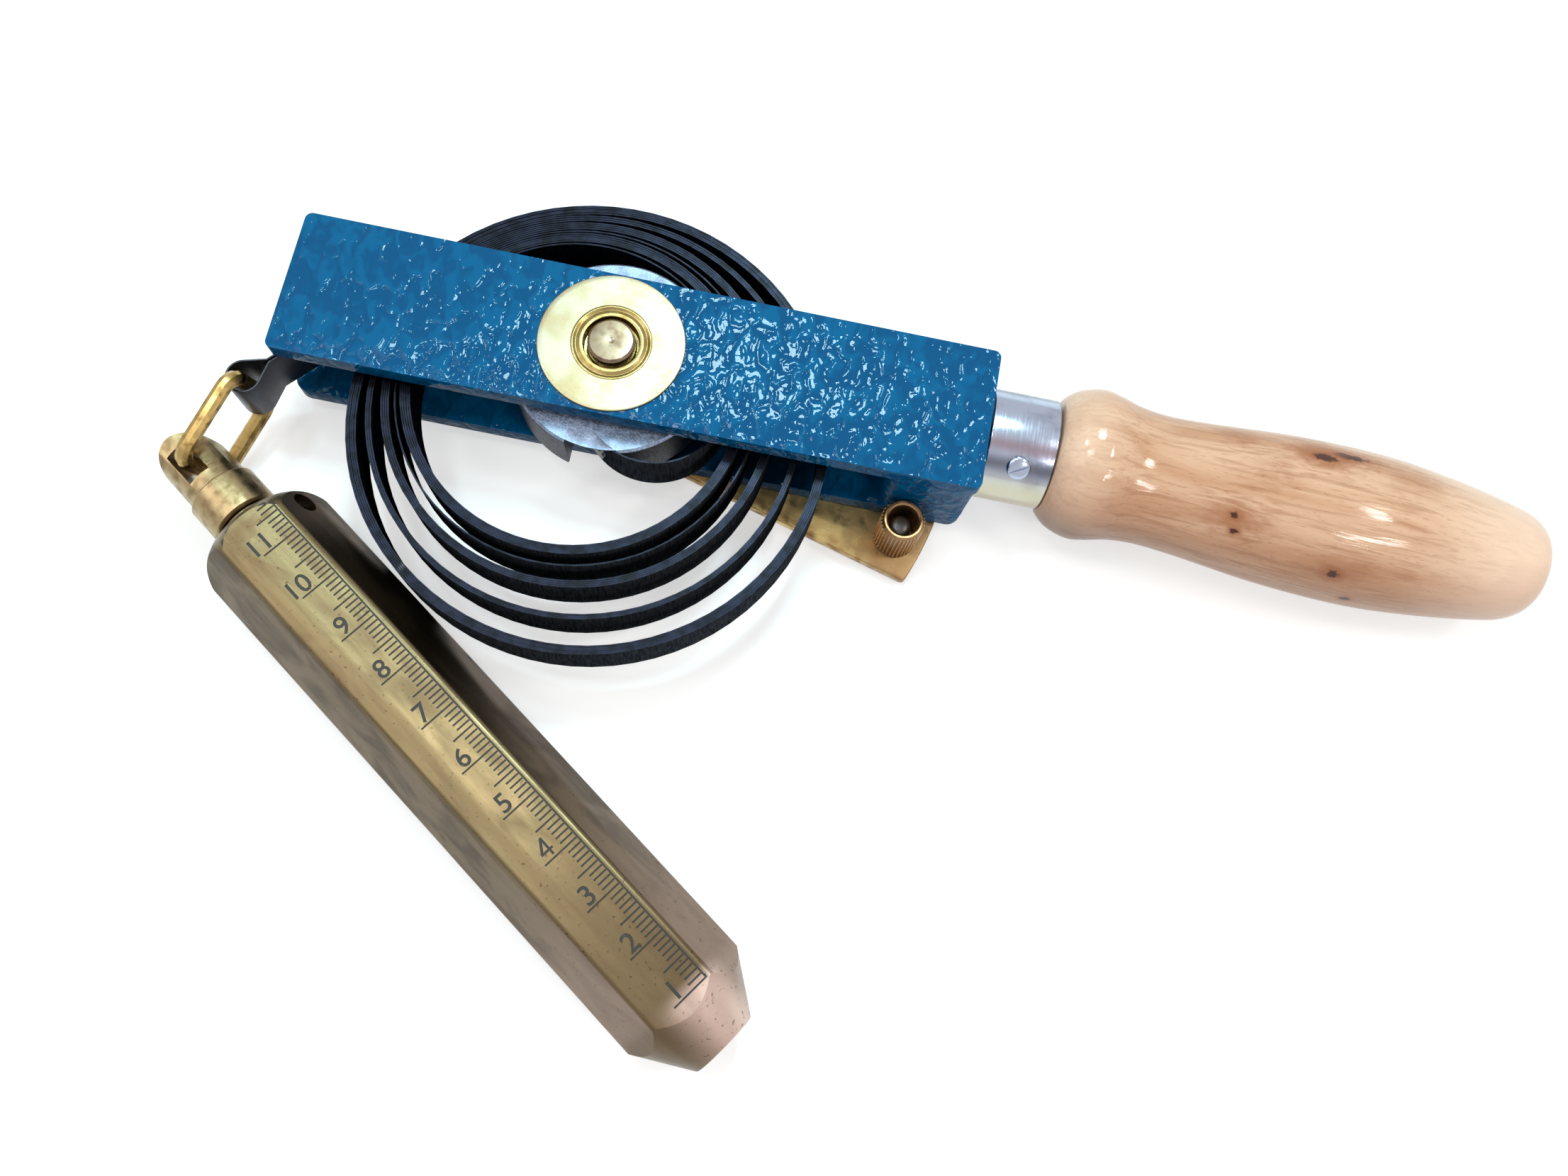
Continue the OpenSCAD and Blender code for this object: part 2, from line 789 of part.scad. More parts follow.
// The hexagonal head is chamfered round the flat face that the tool lies on
module crank_screw() {
    face_r = crank_head_w / 2 - face_chamfer;
    color([0.62, 0.63, 0.65]) {
        intersection() {
            rotate([0, 0, crank_angle])
                cylinder(r = crank_head_w / sqrt(3), h = head_h, $fn = 6);
            cylinder(r1 = face_r, r2 = face_r + head_h * tan(60), h = head_h);
        }
        cylinder(r = crank_shank_r, h = head_h + crank_t + arm_t);
    }
}

// The knob turns on the pin, which holds it down by the web at the foot of its bore
web_t = 2;
knob_lift = 0.1;
knob_z = plate_top_z + knob_lift;
rim_h = 0.7;

module crank_knob() {
    color([0.74, 0.60, 0.34])
        rotate([0, 0, crank_angle])
            translate([crank_r, 0, knob_z])
                difference() {
                    union() {
                        linear_extrude(knob_h - rim_h)
                            polygon([
                                for (i = [0 : 2 * knob_ribs - 1])
                                    (knob_r - (i % 2) * rib_depth)
                                        * [cos(i * 180 / knob_ribs), sin(i * 180 / knob_ribs)]
                            ]);
                        translate([0, 0, knob_h - rim_h])
                            cylinder(r = knob_r - 2 * rib_depth, h = rim_h);
                    }
                    translate([0, 0, web_t])
                        cylinder(r = knob_bore_r, h = knob_h);
                    translate([0, 0, -1])
                        cylinder(r = pin_r + run_fit, h = knob_h);
                }
}

module knob_pin() {
    color([0.50, 0.51, 0.53])
        rotate([0, 0, crank_angle])
            translate([crank_r, 0, 0]) {
                translate([0, 0, plate_z])
                    cylinder(r = pin_r, h = knob_z + web_t + 1 - plate_z);
                translate([0, 0, knob_z + web_t + knob_lift])
                    cylinder(r = pin_head_r, h = knob_h - web_t - knob_lift - pin_recess);
            }
}

module ferrule() {
    color([0.78, 0.79, 0.81])
        translate([ferrule_x, 0, axis_z])
            difference() {
                rotate([0, 90, 0])
                    difference() {
                        cylinder(r = ferrule_r, h = ferrule_len);
                        translate([0, 0, -1])
                            cylinder(r = ferrule_r - ferrule_wall, h = ferrule_len + 2);
                    }
                at_ferrule_screw()
                    cylinder(r = ferrule_shank_r + seat_fit, h = 2 * ferrule_r);
            }
}

ferrule_shank_r = 1.2;
ferrule_screw_x = ferrule_len * 0.5;
ferrule_screw_len = 5;
ferrule_head_t = 0.9;
ferrule_slot = 0.5;
slot_depth = 0.35;

module at_ferrule_screw() {
    translate([ferrule_screw_x, 0, 0])
        rotate([ferrule_screw_angle, 0, 0])
            children();
}

module ferrule_screw() {
    color([0.82, 0.82, 0.83])
        translate([ferrule_x, 0, axis_z])
            at_ferrule_screw()
                difference() {
                    union() {
                        translate([0, 0, ferrule_r + eps])
                            cylinder(r = ferrule_head_r, h = ferrule_head_t);
                        translate([0, 0, ferrule_r - ferrule_screw_len])
                            cylinder(r = ferrule_shank_r, h = ferrule_screw_len + 0.5);
                    }
                    rotate([0, 0, 30])
                        translate([
                            -ferrule_head_r - 1,
                            -ferrule_slot / 2,
                            ferrule_r + ferrule_head_t - slot_depth
                        ])
                            cube([2 * ferrule_head_r + 2, ferrule_slot, 2]);
                }
}

// Puts its children on the leaning handle: +X to its end, X = 0 at the ferrule's edge
module at_grip() {
    translate([grip_x, 0, axis_z])
        rotate([0, 0, -grip_lean])
            children();
}

// A rod from inside the block, through the ferrule, to inside the wood
module tang_rod(r, reach) {
    translate([block_x + tang_inset, 0, axis_z])
        rotate([0, 90, 0])
            cylinder(r = r, h = grip_x + reach - block_x - tang_inset);
}

module handle_tang() {
    color([0.55, 0.56, 0.58])
        tang_rod(tang_r, tang_reach);
}

grip_start = ferrule_r * sin(grip_lean) + 0.1;
grip_stations = [
    [grip_start, ferrule_r + 0.5],
    [2.6, bulb_r - 1.6],
    [7, bulb_r],
    [12.6, (bulb_r + waist_r) / 2 - 0.1],
    [19, waist_r],
    [grip_len * 0.34, waist_r + (belly_r - waist_r) * 0.38],
    [grip_len * 0.47, belly_r - 0.3],
    [grip_len * 0.57, belly_r],
    [grip_len * 0.68, belly_r - 0.4],
    [grip_len * 0.83, (belly_r + butt_r) / 2 - 0.6],
    [grip_len * 0.92, butt_r - 0.4],
    [grip_len * 0.965, butt_r * 0.76],
    [grip_len * 0.992, butt_r * 0.42],
    [grip_len, 0]
];

module wood_handle() {
    color([0.84, 0.66, 0.46])
        difference() {
            union() {
                translate([ferrule_x + 1, 0, axis_z])
                    rotate([0, 90, 0])
                        cylinder(r = neck_fit_r, h = ferrule_len - 1 + grip_start);
                at_grip()
                    rotate([0, 90, 0])
                        rotate_extrude()
                            polygon(concat(
                                [[0, grip_start]],
                                [for (q = smooth_line(grip_stations, 5)) [max(q[1], 0), q[0]]]
                            ));
            }
            tang_rod(tang_r + seat_fit, tang_reach + 0.5);
            translate([ferrule_x, 0, axis_z])
                at_ferrule_screw()
                    translate([0, 0, ferrule_r - ferrule_screw_len - 0.2])
                        cylinder(r = ferrule_shank_r + seat_fit, h = ferrule_screw_len);
        }
}

fork_frame();
brass_disc();
front_bush();
rear_bush();
reel_shaft();
drum();
drum_grub_screw();
front_washer();
rear_washer();
tape_anchor_screw();
tape_coil();
tape_end_eye();
eye_rivets();
wire_link();
swivel_head();
plumb_bob();
bob_set_screw();
crank_plate();
crank_screw();
crank_knob();
knob_pin();
ferrule();
ferrule_screw();
handle_tang();
wood_handle();
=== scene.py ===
import json
from math import acos, asin, atan2, cos, degrees, pi, radians, sin, sqrt, tan
from types import SimpleNamespace as Look

import bmesh
import bpy
from mathutils import Matrix, Vector


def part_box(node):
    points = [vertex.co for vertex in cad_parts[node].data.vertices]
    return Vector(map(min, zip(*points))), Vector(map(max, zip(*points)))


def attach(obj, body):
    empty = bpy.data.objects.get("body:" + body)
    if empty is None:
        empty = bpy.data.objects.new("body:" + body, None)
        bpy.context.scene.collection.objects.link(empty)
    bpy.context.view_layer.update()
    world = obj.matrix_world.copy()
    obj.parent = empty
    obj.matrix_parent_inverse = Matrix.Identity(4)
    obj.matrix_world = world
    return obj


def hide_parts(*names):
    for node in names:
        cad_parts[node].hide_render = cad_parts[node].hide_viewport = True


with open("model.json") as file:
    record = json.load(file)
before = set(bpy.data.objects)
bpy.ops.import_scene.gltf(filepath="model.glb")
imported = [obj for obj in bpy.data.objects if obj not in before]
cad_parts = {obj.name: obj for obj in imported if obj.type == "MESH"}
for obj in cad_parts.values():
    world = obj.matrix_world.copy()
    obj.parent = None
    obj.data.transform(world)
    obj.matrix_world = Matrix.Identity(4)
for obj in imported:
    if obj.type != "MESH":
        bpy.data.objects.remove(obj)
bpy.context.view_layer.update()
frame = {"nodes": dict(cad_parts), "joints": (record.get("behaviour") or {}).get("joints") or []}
scene = bpy.context.scene
mm = 0.001
joints = {joint["name"]: joint for joint in frame["joints"]}


def addObject(name, data):
    made = bpy.data.objects.new(name, data)
    scene.collection.objects.link(made)
    return made


def boxMm(node):
    low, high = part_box(node)
    return low / mm, high / mm


# places that several pieces share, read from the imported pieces, in millimetres
forkLow, forkHigh = boxMm("fork_frame")
bushLow, bushHigh = boxMm("rear_bush")
discLow, discHigh = boxMm("brass_disc")
shaftLow, shaftHigh = boxMm("reel_shaft")
drumLow, drumHigh = boxMm("drum")
tapeLow, tapeHigh = boxMm("tape_coil")
ferruleLow, ferruleHigh = boxMm("ferrule")
plateLow, plateHigh = boxMm("crank_plate")
knobLow, knobHigh = boxMm("crank_knob")
axisZ = (tapeLow.z + tapeHigh.z) / 2
armThick = bushHigh.z - bushLow.z
hang, eye, knob = [
    Vector(joints[name]["pos_m"]) / mm for name in ("swivel_swing", "link_swing", "knob_spin")
]
barAxis = Vector(joints["link_swing"]["axis"]).normalized()
bobAxis = Vector(joints["bob_spin"]["axis"]).normalized()
bobAngle = atan2(bobAxis.y, bobAxis.x)
crankAngle = atan2(knob.y, knob.x)
shift = Matrix.Translation
bobPlace = shift(hang) @ Matrix.Rotation(bobAngle, 4, "Z")
crankTurn = Matrix.Rotation(crankAngle, 4, "Z")

cameraSetup = Look(
    place=(33.8, -96.1, 231.5),  # 0.23 m above the table, as the photograph was taken
    right=(0.981, 0.182, 0.07),
    up=(-0.194, 0.945, 0.264),
    lens=29.5,
    sensor=36,
)


def makeCamera():
    right = Vector(cameraSetup.right).normalized()
    back = right.cross(Vector(cameraSetup.up)).normalized()
    up = back.cross(right)
    data = bpy.data.cameras.new("camera")
    data.lens = cameraSetup.lens
    data.sensor_width = cameraSetup.sensor
    data.clip_start = 0.01
    data.clip_end = 10
    camera = addObject("camera", data)
    turned = Matrix((right, up, back)).transposed().to_4x4()
    camera.matrix_world = shift(Vector(cameraSetup.place) * mm) @ turned
    scene.camera = camera


makeCamera()
print("camera set")


# shapes are modelled in millimetres about their own axis, then turned into place

def softened(points, radius, steps=3, closed=False):
    # the outline with its corners rounded by short curves
    corners = [Vector(point) for point in points]
    line = []
    for i, corner in enumerate(corners):
        if not closed and i in (0, len(corners) - 1):
            line.append(corner)
            continue
        before = corners[i - 1] - corner
        after = corners[(i + 1) % len(corners)] - corner
        room = 0.45 * min(before.length, after.length)
        reach = min(radius / tan(before.angle(after) / 2), room)
        start = corner + before.normalized() * reach
        end = corner + after.normalized() * reach
        for step in range(steps + 1):
            t = step / steps
            line.append(start * (1 - t) ** 2 + corner * 2 * t * (1 - t) + end * t ** 2)
    return line


def cleaned(bm, near=0.0005):
    # points that lie nearer than this are joined, and the faces look outward
    bmesh.ops.remove_doubles(bm, verts=bm.verts, dist=near)
    bmesh.ops.recalc_face_normals(bm, faces=bm.faces)
    return bm


def lathe(outline, closed=False, steps=96):
    # outline points are (radius, height), turned about Z
    bm = bmesh.new()
    verts = [bm.verts.new((point[0], 0, point[1])) for point in outline]
    ends = verts[1:] + verts[:1] if closed else verts[1:]
    edges = [bm.edges.new(pair) for pair in zip(verts, ends)]
    bmesh.ops.spin(
        bm, geom=verts + edges, cent=(0, 0, 0), axis=(0, 0, 1), dvec=(0, 0, 0),
        angle=2 * pi, steps=steps, use_merge=True, use_duplicate=False,
    )
    return cleaned(bm)


def prism(outline, low, high):
    bm = bmesh.new()
    foot = bm.faces.new([bm.verts.new((point[0], point[1], low)) for point in outline])
    grown = bmesh.ops.extrude_face_region(bm, geom=[foot])["geom"]
    top = [part for part in grown if isinstance(part, bmesh.types.BMVert)]
    bmesh.ops.translate(bm, vec=(0, 0, high - low), verts=top)
    bmesh.ops.recalc_face_normals(bm, faces=bm.faces)
    return bm


def block(low, high):
    bm = bmesh.new()
    bmesh.ops.create_cube(bm, size=1)
    size = Vector(high) - Vector(low)
    bmesh.ops.scale(bm, vec=size, verts=bm.verts)
    bmesh.ops.translate(bm, vec=Vector(low) + size / 2, verts=bm.verts)
    return bm


def rod(radius, low, high, steps=64):
    return lathe([(0, low), (radius, low), (radius, high), (0, high)], steps=steps)


def place(bm, matrix):
    bmesh.ops.transform(bm, matrix=matrix, verts=bm.verts)
    return bm


def roll(angle, axis):
    return Matrix.Rotation(radians(angle), 4, axis)


def dome(radius, foot, high):
    # the outline of a round head, from its rim to its top
    turns = [radians(angle) for angle in range(0, 90, 15)]
    rim = [(radius * cos(turn), foot + high * sin(turn)) for turn in turns]
    return rim + [(0, foot + high)]


def roundEdges(bm, edges, width, segments=3):
    bmesh.ops.bevel(
        bm, geom=edges, offset=width, offset_type="OFFSET", affect="EDGES",
        segments=segments, profile=0.5, material=-1, clamp_overlap=True,
    )
    return bm


def sharpEdges(bm, angle=40):
    return [edge for edge in bm.edges if edge.calc_face_angle(0) > radians(angle)]


def uprightEdges(bm):
    return [edge for edge in bm.edges if abs(edge.verts[0].co.z - edge.verts[1].co.z) > 1]


def mergeFlat(bm, angle):
    bmesh.ops.dissolve_limit(
        bm, angle_limit=radians(angle), verts=bm.verts, edges=bm.edges,
        use_dissolve_boundaries=False, delimit=set(),
    )


def meshOf(bm, name="loose", materials=()):
    mesh = bpy.data.meshes.new(name)
    for material in materials:
        mesh.materials.append(material)
    bm.to_mesh(mesh)
    bm.free()
    return mesh


def gather(shapes):
    whole = bmesh.new()
    for shape in shapes:
        mesh = meshOf(shape)
        whole.from_mesh(mesh)
        bpy.data.meshes.remove(mesh)
    return whole


def looseObject(bm):
    return addObject("loose", meshOf(bm, materials=(None, None)))


def shapeOf(loose):
    # the object's finished mesh, with its curve or its modifiers worked out
    depsgraph = bpy.context.evaluated_depsgraph_get()
    mesh = bpy.data.meshes.new_from_object(loose.evaluated_get(depsgraph))
    bm = bmesh.new()
    bm.from_mesh(mesh)
    bpy.data.meshes.remove(mesh)
    return bm


def carve(bm, cutters, operation="DIFFERENCE"):
    whole = looseObject(bm)
    tools = [looseObject(cutter) for cutter in cutters]
    for tool in tools:
        cut = whole.modifiers.new("cut", "BOOLEAN")
        cut.operation = operation
        cut.solver = "EXACT"
        cut.object = tool
    result = shapeOf(whole)
    for loose in [whole, *tools]:
        mesh = loose.data
        bpy.data.objects.remove(loose)
        bpy.data.meshes.remove(mesh)
    return result


def curveShape(curve, near):
    # a curve or text made a mesh
    loose = addObject("curve", curve)
    bm = shapeOf(loose)
    bpy.data.objects.remove(loose)
    bpy.data.curves.remove(curve)
    return cleaned(bm, near)


def finishPiece(name, bm, materials, body, node, sharp=35):
    bmesh.ops.scale(bm, vec=(mm, mm, mm), verts=bm.verts)
    mesh = meshOf(bm, name, materials)
    mesh.shade_smooth()
    mesh.set_sharp_from_angle(angle=radians(sharp))
    piece = addObject(name, mesh)
    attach(piece, body)
    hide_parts(node)
    print(name, "made,", len(mesh.polygons), "faces")


def dressNodes(nodes, material):
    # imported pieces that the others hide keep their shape
    for node in nodes:
        materials = frame["nodes"][node].data.materials
        materials.clear()
        materials.append(material)


# small steps that the materials share

def tone(red, green, blue):
    # a colour as a screen shows it, from 0 to 255, turned into the renderer's own scale
    return (*[(part / 255) ** 2.2 for part in (red, green, blue)], 1)


def addNode(kind, inputs, **settings):
    # the new node goes where its first linked input is
    linked = [value for value in inputs.values() if isinstance(value, bpy.types.NodeSocket)]
    tree = linked[0].id_data
    node = tree.nodes.new(kind)
    for setting, value in settings.items():
        setattr(node, setting, value)
    for socket, value in inputs.items():
        if value in linked:
            tree.links.new(value, node.inputs[socket])
        else:
            node.inputs[socket].default_value = value
    return node


def newMaterial(name, origin=(0, 0, 0), turn=0, **sockets):
    # with the piece's own coordinates in millimetres, about a place and turned about Z
    material = bpy.data.materials.new(name)
    material.use_nodes = True
    nodes = material.node_tree.nodes
    shader = nodes["Principled BSDF"]
    for socket, value in sockets.items():
        shader.inputs[socket.replace("_", " ")].default_value = value
    inputs = {
        "Vector": nodes.new("ShaderNodeTexCoord").outputs["Object"],
        "Location": Vector(origin) * mm, "Rotation": (0, 0, turn), "Scale": (mm, mm, mm),
    }
    here = addNode("ShaderNodeMapping", inputs, vector_type="TEXTURE").outputs["Vector"]
    return material, here


def stretch(vector, scale):
    inputs = {0: vector, 1: scale}
    return addNode("ShaderNodeVectorMath", inputs, operation="MULTIPLY").outputs[0]


def noise(vector, scale, detail=2, distortion=0):
    inputs = {"Vector": vector, "Scale": scale, "Detail": detail, "Distortion": distortion}
    return addNode("ShaderNodeTexNoise", inputs).outputs[0]


def calc(operation, first, second=0.0, third=0.0):
    inputs = {0: first, 1: second, 2: third}
    return addNode("ShaderNodeMath", inputs, operation=operation).outputs[0]


def rise(value, low, high, to=(0, 1)):
    # goes smoothly from one level to another as the value goes from low to high
    inputs = {"Value": value, "From Min": low, "From Max": high, "To Min": to[0], "To Max": to[1]}
    return addNode("ShaderNodeMapRange", inputs, interpolation_type="SMOOTHSTEP").outputs[0]


def blend(factor, first, second, kind="MIX"):
    inputs = {0: factor, 6: first, 7: second}
    node = addNode("ShaderNodeMix", inputs, data_type="RGBA", blend_type=kind)
    return node.outputs[2]


def split(vector):
    return addNode("ShaderNodeSeparateXYZ", {0: vector}).outputs


def bump(height, depth):
    # depth is in millimetres, for a height that goes from 0 to 1
    inputs = {"Height": height, "Distance": depth * mm, "Strength": 1.0}
    return addNode("ShaderNodeBump", inputs).outputs[0]


def connect(material, **sockets):
    tree = material.node_tree
    for socket, value in sockets.items():
        tree.links.new(value, tree.nodes["Principled BSDF"].inputs[socket.replace("_", " ")])
    return material


def fromAxis(x, y):
    squares = calc("ADD", calc("MULTIPLY", x, x), calc("MULTIPLY", y, y))
    return calc("SQRT", squares)


def joinMetal(material, colour, wear, rough, marks=None, depth=0):
    # the colour, a roughness that goes with the wear, and fine marks in the surface
    if marks is not None:
        connect(material, Normal=bump(marks, depth))
    return connect(material, Base_Color=colour, Roughness=rise(wear, 0.3, 0.7, rough))


forkLook = Look(
    frontCorner=1.3,
    rearCorner=2.6,
    blockFront=52,
    edge=0.4,
    paint=tone(0, 84, 124),
    paintDeep=tone(0, 72, 111),
    blob=0.38,  # blobs of the hammered paint in one millimetre
    blobStretch=(1.3, 0.8, 1),
    blobDepth=0.54,
    fine=2.4,
)


def bluePaint():
    look = forkLook
    material, here = newMaterial(
        "bluePaint", Roughness=0.6, Specular_IOR_Level=0.0, Coat_Weight=0.28, Coat_Roughness=0.02,
    )
    blobs = noise(stretch(here, look.blobStretch), look.blob, 0.6, 0.9)
    fine = noise(here, look.blob * look.fine, 0.5, 0.4)
    height = calc("MULTIPLY_ADD", fine, 0.12, blobs)
    # the paint is lighter on the blobs' tops: partly the hammered paint's own flake tone, partly a
    # painted sheen of light on the blobs
    paint = blend(rise(blobs, 0.4, 0.66), look.paintDeep, look.paint)
    hammered = bump(height, look.blobDepth)
    return connect(material, Base_Color=paint, Normal=hammered, Coat_Normal=hammered)


def forkBar(xLow, xHigh, zLow, zHigh, corner):
    bar = block((xLow, forkLow.y, zLow), (xHigh, forkHigh.y, zHigh))
    return roundEdges(bar, uprightEdges(bar), corner, 6)


def makeFork():
    look = forkLook
    rear = forkBar(forkLow.x, forkHigh.x, forkLow.z, forkLow.z + armThick, look.rearCorner)
    front = forkBar(forkLow.x, forkHigh.x, forkHigh.z - armThick, forkHigh.z, look.frontCorner)
    core = forkBar(
        look.blockFront, forkHigh.x, forkLow.z + armThick / 2, forkHigh.z - armThick / 2,
        look.rearCorner,
    )
    fork = carve(rear, [front, core], "UNION")
    mergeFlat(fork, 1)
    roundEdges(fork, sharpEdges(fork), look.edge)
    bore = rod(bushHigh.x + 0.02, forkLow.z - 1, forkHigh.z + 1)
    fork = carve(fork, [bore])
    finishPiece("forkFrame", fork, [bluePaint()], "root", "fork_frame")


makeFork()


discLook = Look(
    metal=tone(150, 141, 122),
    metalWarm=tone(136, 120, 93),
    inner=7.12,
    rim=0.18,
)


def paleBrass():
    look = discLook
    material, here = newMaterial("paleBrass", Metallic=1.0)
    cloud = noise(here, 0.12, 3)
    grain = noise(here, 2.2, 4)
    metal = blend(rise(cloud, 0.35, 0.65), look.metalWarm, look.metal)
    metal = blend(rise(grain, 0.45, 0.8, (0, 0.25)), metal, look.metalWarm)
    return joinMetal(material, metal, grain, (0.32, 0.44), grain, 0.004)


def makeDisc():
    look = discLook
    inner = look.inner
    top = discHigh.z
    foot = discLow.z
    rim = softened([(discHigh.x - 1, top), (discHigh.x, top), (discHigh.x, foot)], look.rim)
    disc = lathe([(inner, foot), (inner, top)] + rim, closed=True, steps=160)
    finishPiece("labelDisc", disc, [paleBrass()], "root", "brass_disc", 50)


makeDisc()


bushLook = Look(
    metal=tone(150, 131, 86),
    metalDark=tone(118, 97, 56),
    flange=7.1,
    mouth=4.95,
    ridge=5.45,
    dish=0.3,
    land=0.35,
    ridgeLand=0.15,
    soft=0.16,
    play=0.06,
)


def turnedBrass(name, metal, metalDark, spacing=1.6):
    # brass with fine turning marks in rings about Z
    material, here = newMaterial(name, Metallic=1.0)
    x, y, z = split(here)
    across = addNode("ShaderNodeCombineXYZ", {0: fromAxis(x, y), 2: z}).outputs[0]
    marks = noise(stretch(across, (3, 0, 3)), spacing, 2)
    stain = noise(here, 0.35, 4)
    colour = blend(rise(stain, 0.42, 0.72), metal, metalDark)
    return joinMetal(material, colour, stain, (0.2, 0.36), marks, 0.003)


def makeBush():
    look = bushLook
    top = discHigh.z
    inner = shaftHigh.x + look.play
    well = forkHigh.z - armThick / 2
    points = [
        (inner, forkHigh.z - armThick), (bushHigh.x, forkHigh.z - armThick),
        (bushHigh.x, forkHigh.z), (look.flange, forkHigh.z), (look.flange, top),
        (look.flange - look.land, top),
        ((look.flange + look.ridge) / 2, top - look.dish),
        (look.ridge + look.ridgeLand, top), (look.mouth, top), (look.mouth, well),
        (inner, well),
    ]
    bush = lathe(softened(points, look.soft, closed=True), closed=True, steps=128)
    brass = turnedBrass("bushBrass", look.metal, look.metalDark)
    finishPiece("frontBush", bush, [brass], "root", "front_bush", 50)
    dressNodes(("rear_bush", "front_washer", "rear_washer"), brass)


makeBush()


shaftLook = Look(
    metal=tone(126, 109, 92),
    metalDark=tone(96, 77, 60),
    chamfer=0.45,
    square=5.6,
    squareEdge=0.15,
    screwHole=1.92,
)


def makeShaft():
    look = shaftLook
    top = shaftHigh.z
    radius = shaftHigh.x
    rim = softened([
        (radius, plateHigh.z + 0.01), (radius, top - look.chamfer),
        (radius - look.chamfer, top), (0.6, top - 0.05), (0, top - 0.16),
    ], 0.12)
    shaft = lathe([(0, plateHigh.z + 0.01)] + rim)
    half = look.square / 2
    square = place(
        block((-half, -half, plateLow.z + 0.01), (half, half, plateHigh.z + 1)), crankTurn,
    )
    roundEdges(square, sharpEdges(square), look.squareEdge)
    shaft = carve(shaft, [square], "UNION")
    shaft = carve(shaft, [rod(look.screwHole, plateLow.z - 1, plateHigh.z + 4)])
    steel = turnedBrass("shaftSteel", look.metal, look.metalDark, spacing=1.1)
    finishPiece("reelShaft", shaft, [steel], "reel", "reel_shaft")


makeShaft()


drumLook = Look(
    face=tone(116, 130, 154),
    faceLight=tone(154, 166, 186),
    side=tone(58, 61, 70),
    # painted shade: below this height the drum's side, between the arms, takes the darker side
    # colour
    faceFrom=0.96,  # share of the height, and the darker side lies below it
    grain=3.2,
    lip=0.1,
    lipInner=12,
    lipBack=0.55,
)


def greyCasting():
    look = drumLook
    material, here = newMaterial("greyCasting", Metallic=0.75)
    grain = noise(here, look.grain, 4)
    broad = noise(here, 0.3, 3)
    face = blend(rise(grain, 0.4, 0.68), look.face, look.faceLight)
    face = blend(rise(broad, 0.4, 0.7, (0, 0.5)), face, look.side)
    faceLow = drumLow.z + (drumHigh.z - drumLow.z) * look.faceFrom
    # painted shade: below the face the drum's side is drawn in the darker side colour
    rim = calc("LESS_THAN", split(here)["Z"], faceLow)
    colour = blend(rim, face, look.side)
    return joinMetal(material, colour, grain, (0.34, 0.55), grain, 0.05)


def copyOfNode(node):
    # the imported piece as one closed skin, whose own triangles are loose
    bm = bmesh.new()
    bm.from_mesh(frame["nodes"][node].data)
    bmesh.ops.scale(bm, vec=(1 / mm,) * 3, verts=bm.verts)
    bmesh.ops.remove_doubles(bm, verts=bm.verts, dist=0.002)
    bmesh.ops.dissolve_degenerate(bm, edges=bm.edges, dist=0.001)
    mergeFlat(bm, 0.5)
    return bm


def makeDrum():
    look = drumLook
    drum = copyOfNode("drum")
    # the cast face runs on over the tape's notch as a thin lip
    top = drumHigh.z - 0.01
    outer = drumHigh.x - look.lipBack
    lip = lathe([
        (look.lipInner, top - look.lip), (outer + look.lip / 2, top - look.lip),
        (outer, top), (look.lipInner, top),
    ], closed=True, steps=160)
    drum = carve(drum, [lip], "UNION")
    finishPiece("drumCasting", drum, [greyCasting()], "reel", "drum")


makeDrum()


# turns of tape, drawn as the photograph shows them: 18 loops that touch in five groups
tapeLook = Look(
    groups=(5, 1, 4, 3, 5),
    groupAt=(0, 3.6, 6.5, 12.6, 18.3),
    groupPitch=0.33,
    tightPitch=0.393,
    firstReach=30.3,
    tightReach=27.7,
    centre=(-5.85, -6.5),
    looseAngle=-53,
    curlRadius=13,
    curlAngle=4,
    thickness=0.29,
    step=5,
    wave=0.12,
    face=tone(20, 21, 25),
    faceDark=tone(10, 11, 14),
    # a lighter copy of the tape steel for the outward faces, as painted light
    outer=tone(58, 61, 66),
    outerDark=tone(36, 38, 42),
    edge=tone(27, 30, 43),
    edgeDark=tone(11, 13, 20),
)
eyeLook = Look(
    bore=2.8,
    strip=0.3,
    width=10,
    edge=0.07,
    leg=15,
    closes=5,
    rivet=0.9,
    rivetHead=1.62,
    rivetHigh=0.5,
    rivetBack=13.25,
    rivetRise=2.7,
    metal=tone(14, 14, 17),
    worn=tone(66, 66, 72),
)


def along(angle):
    return Vector((cos(radians(angle)), sin(radians(angle))))


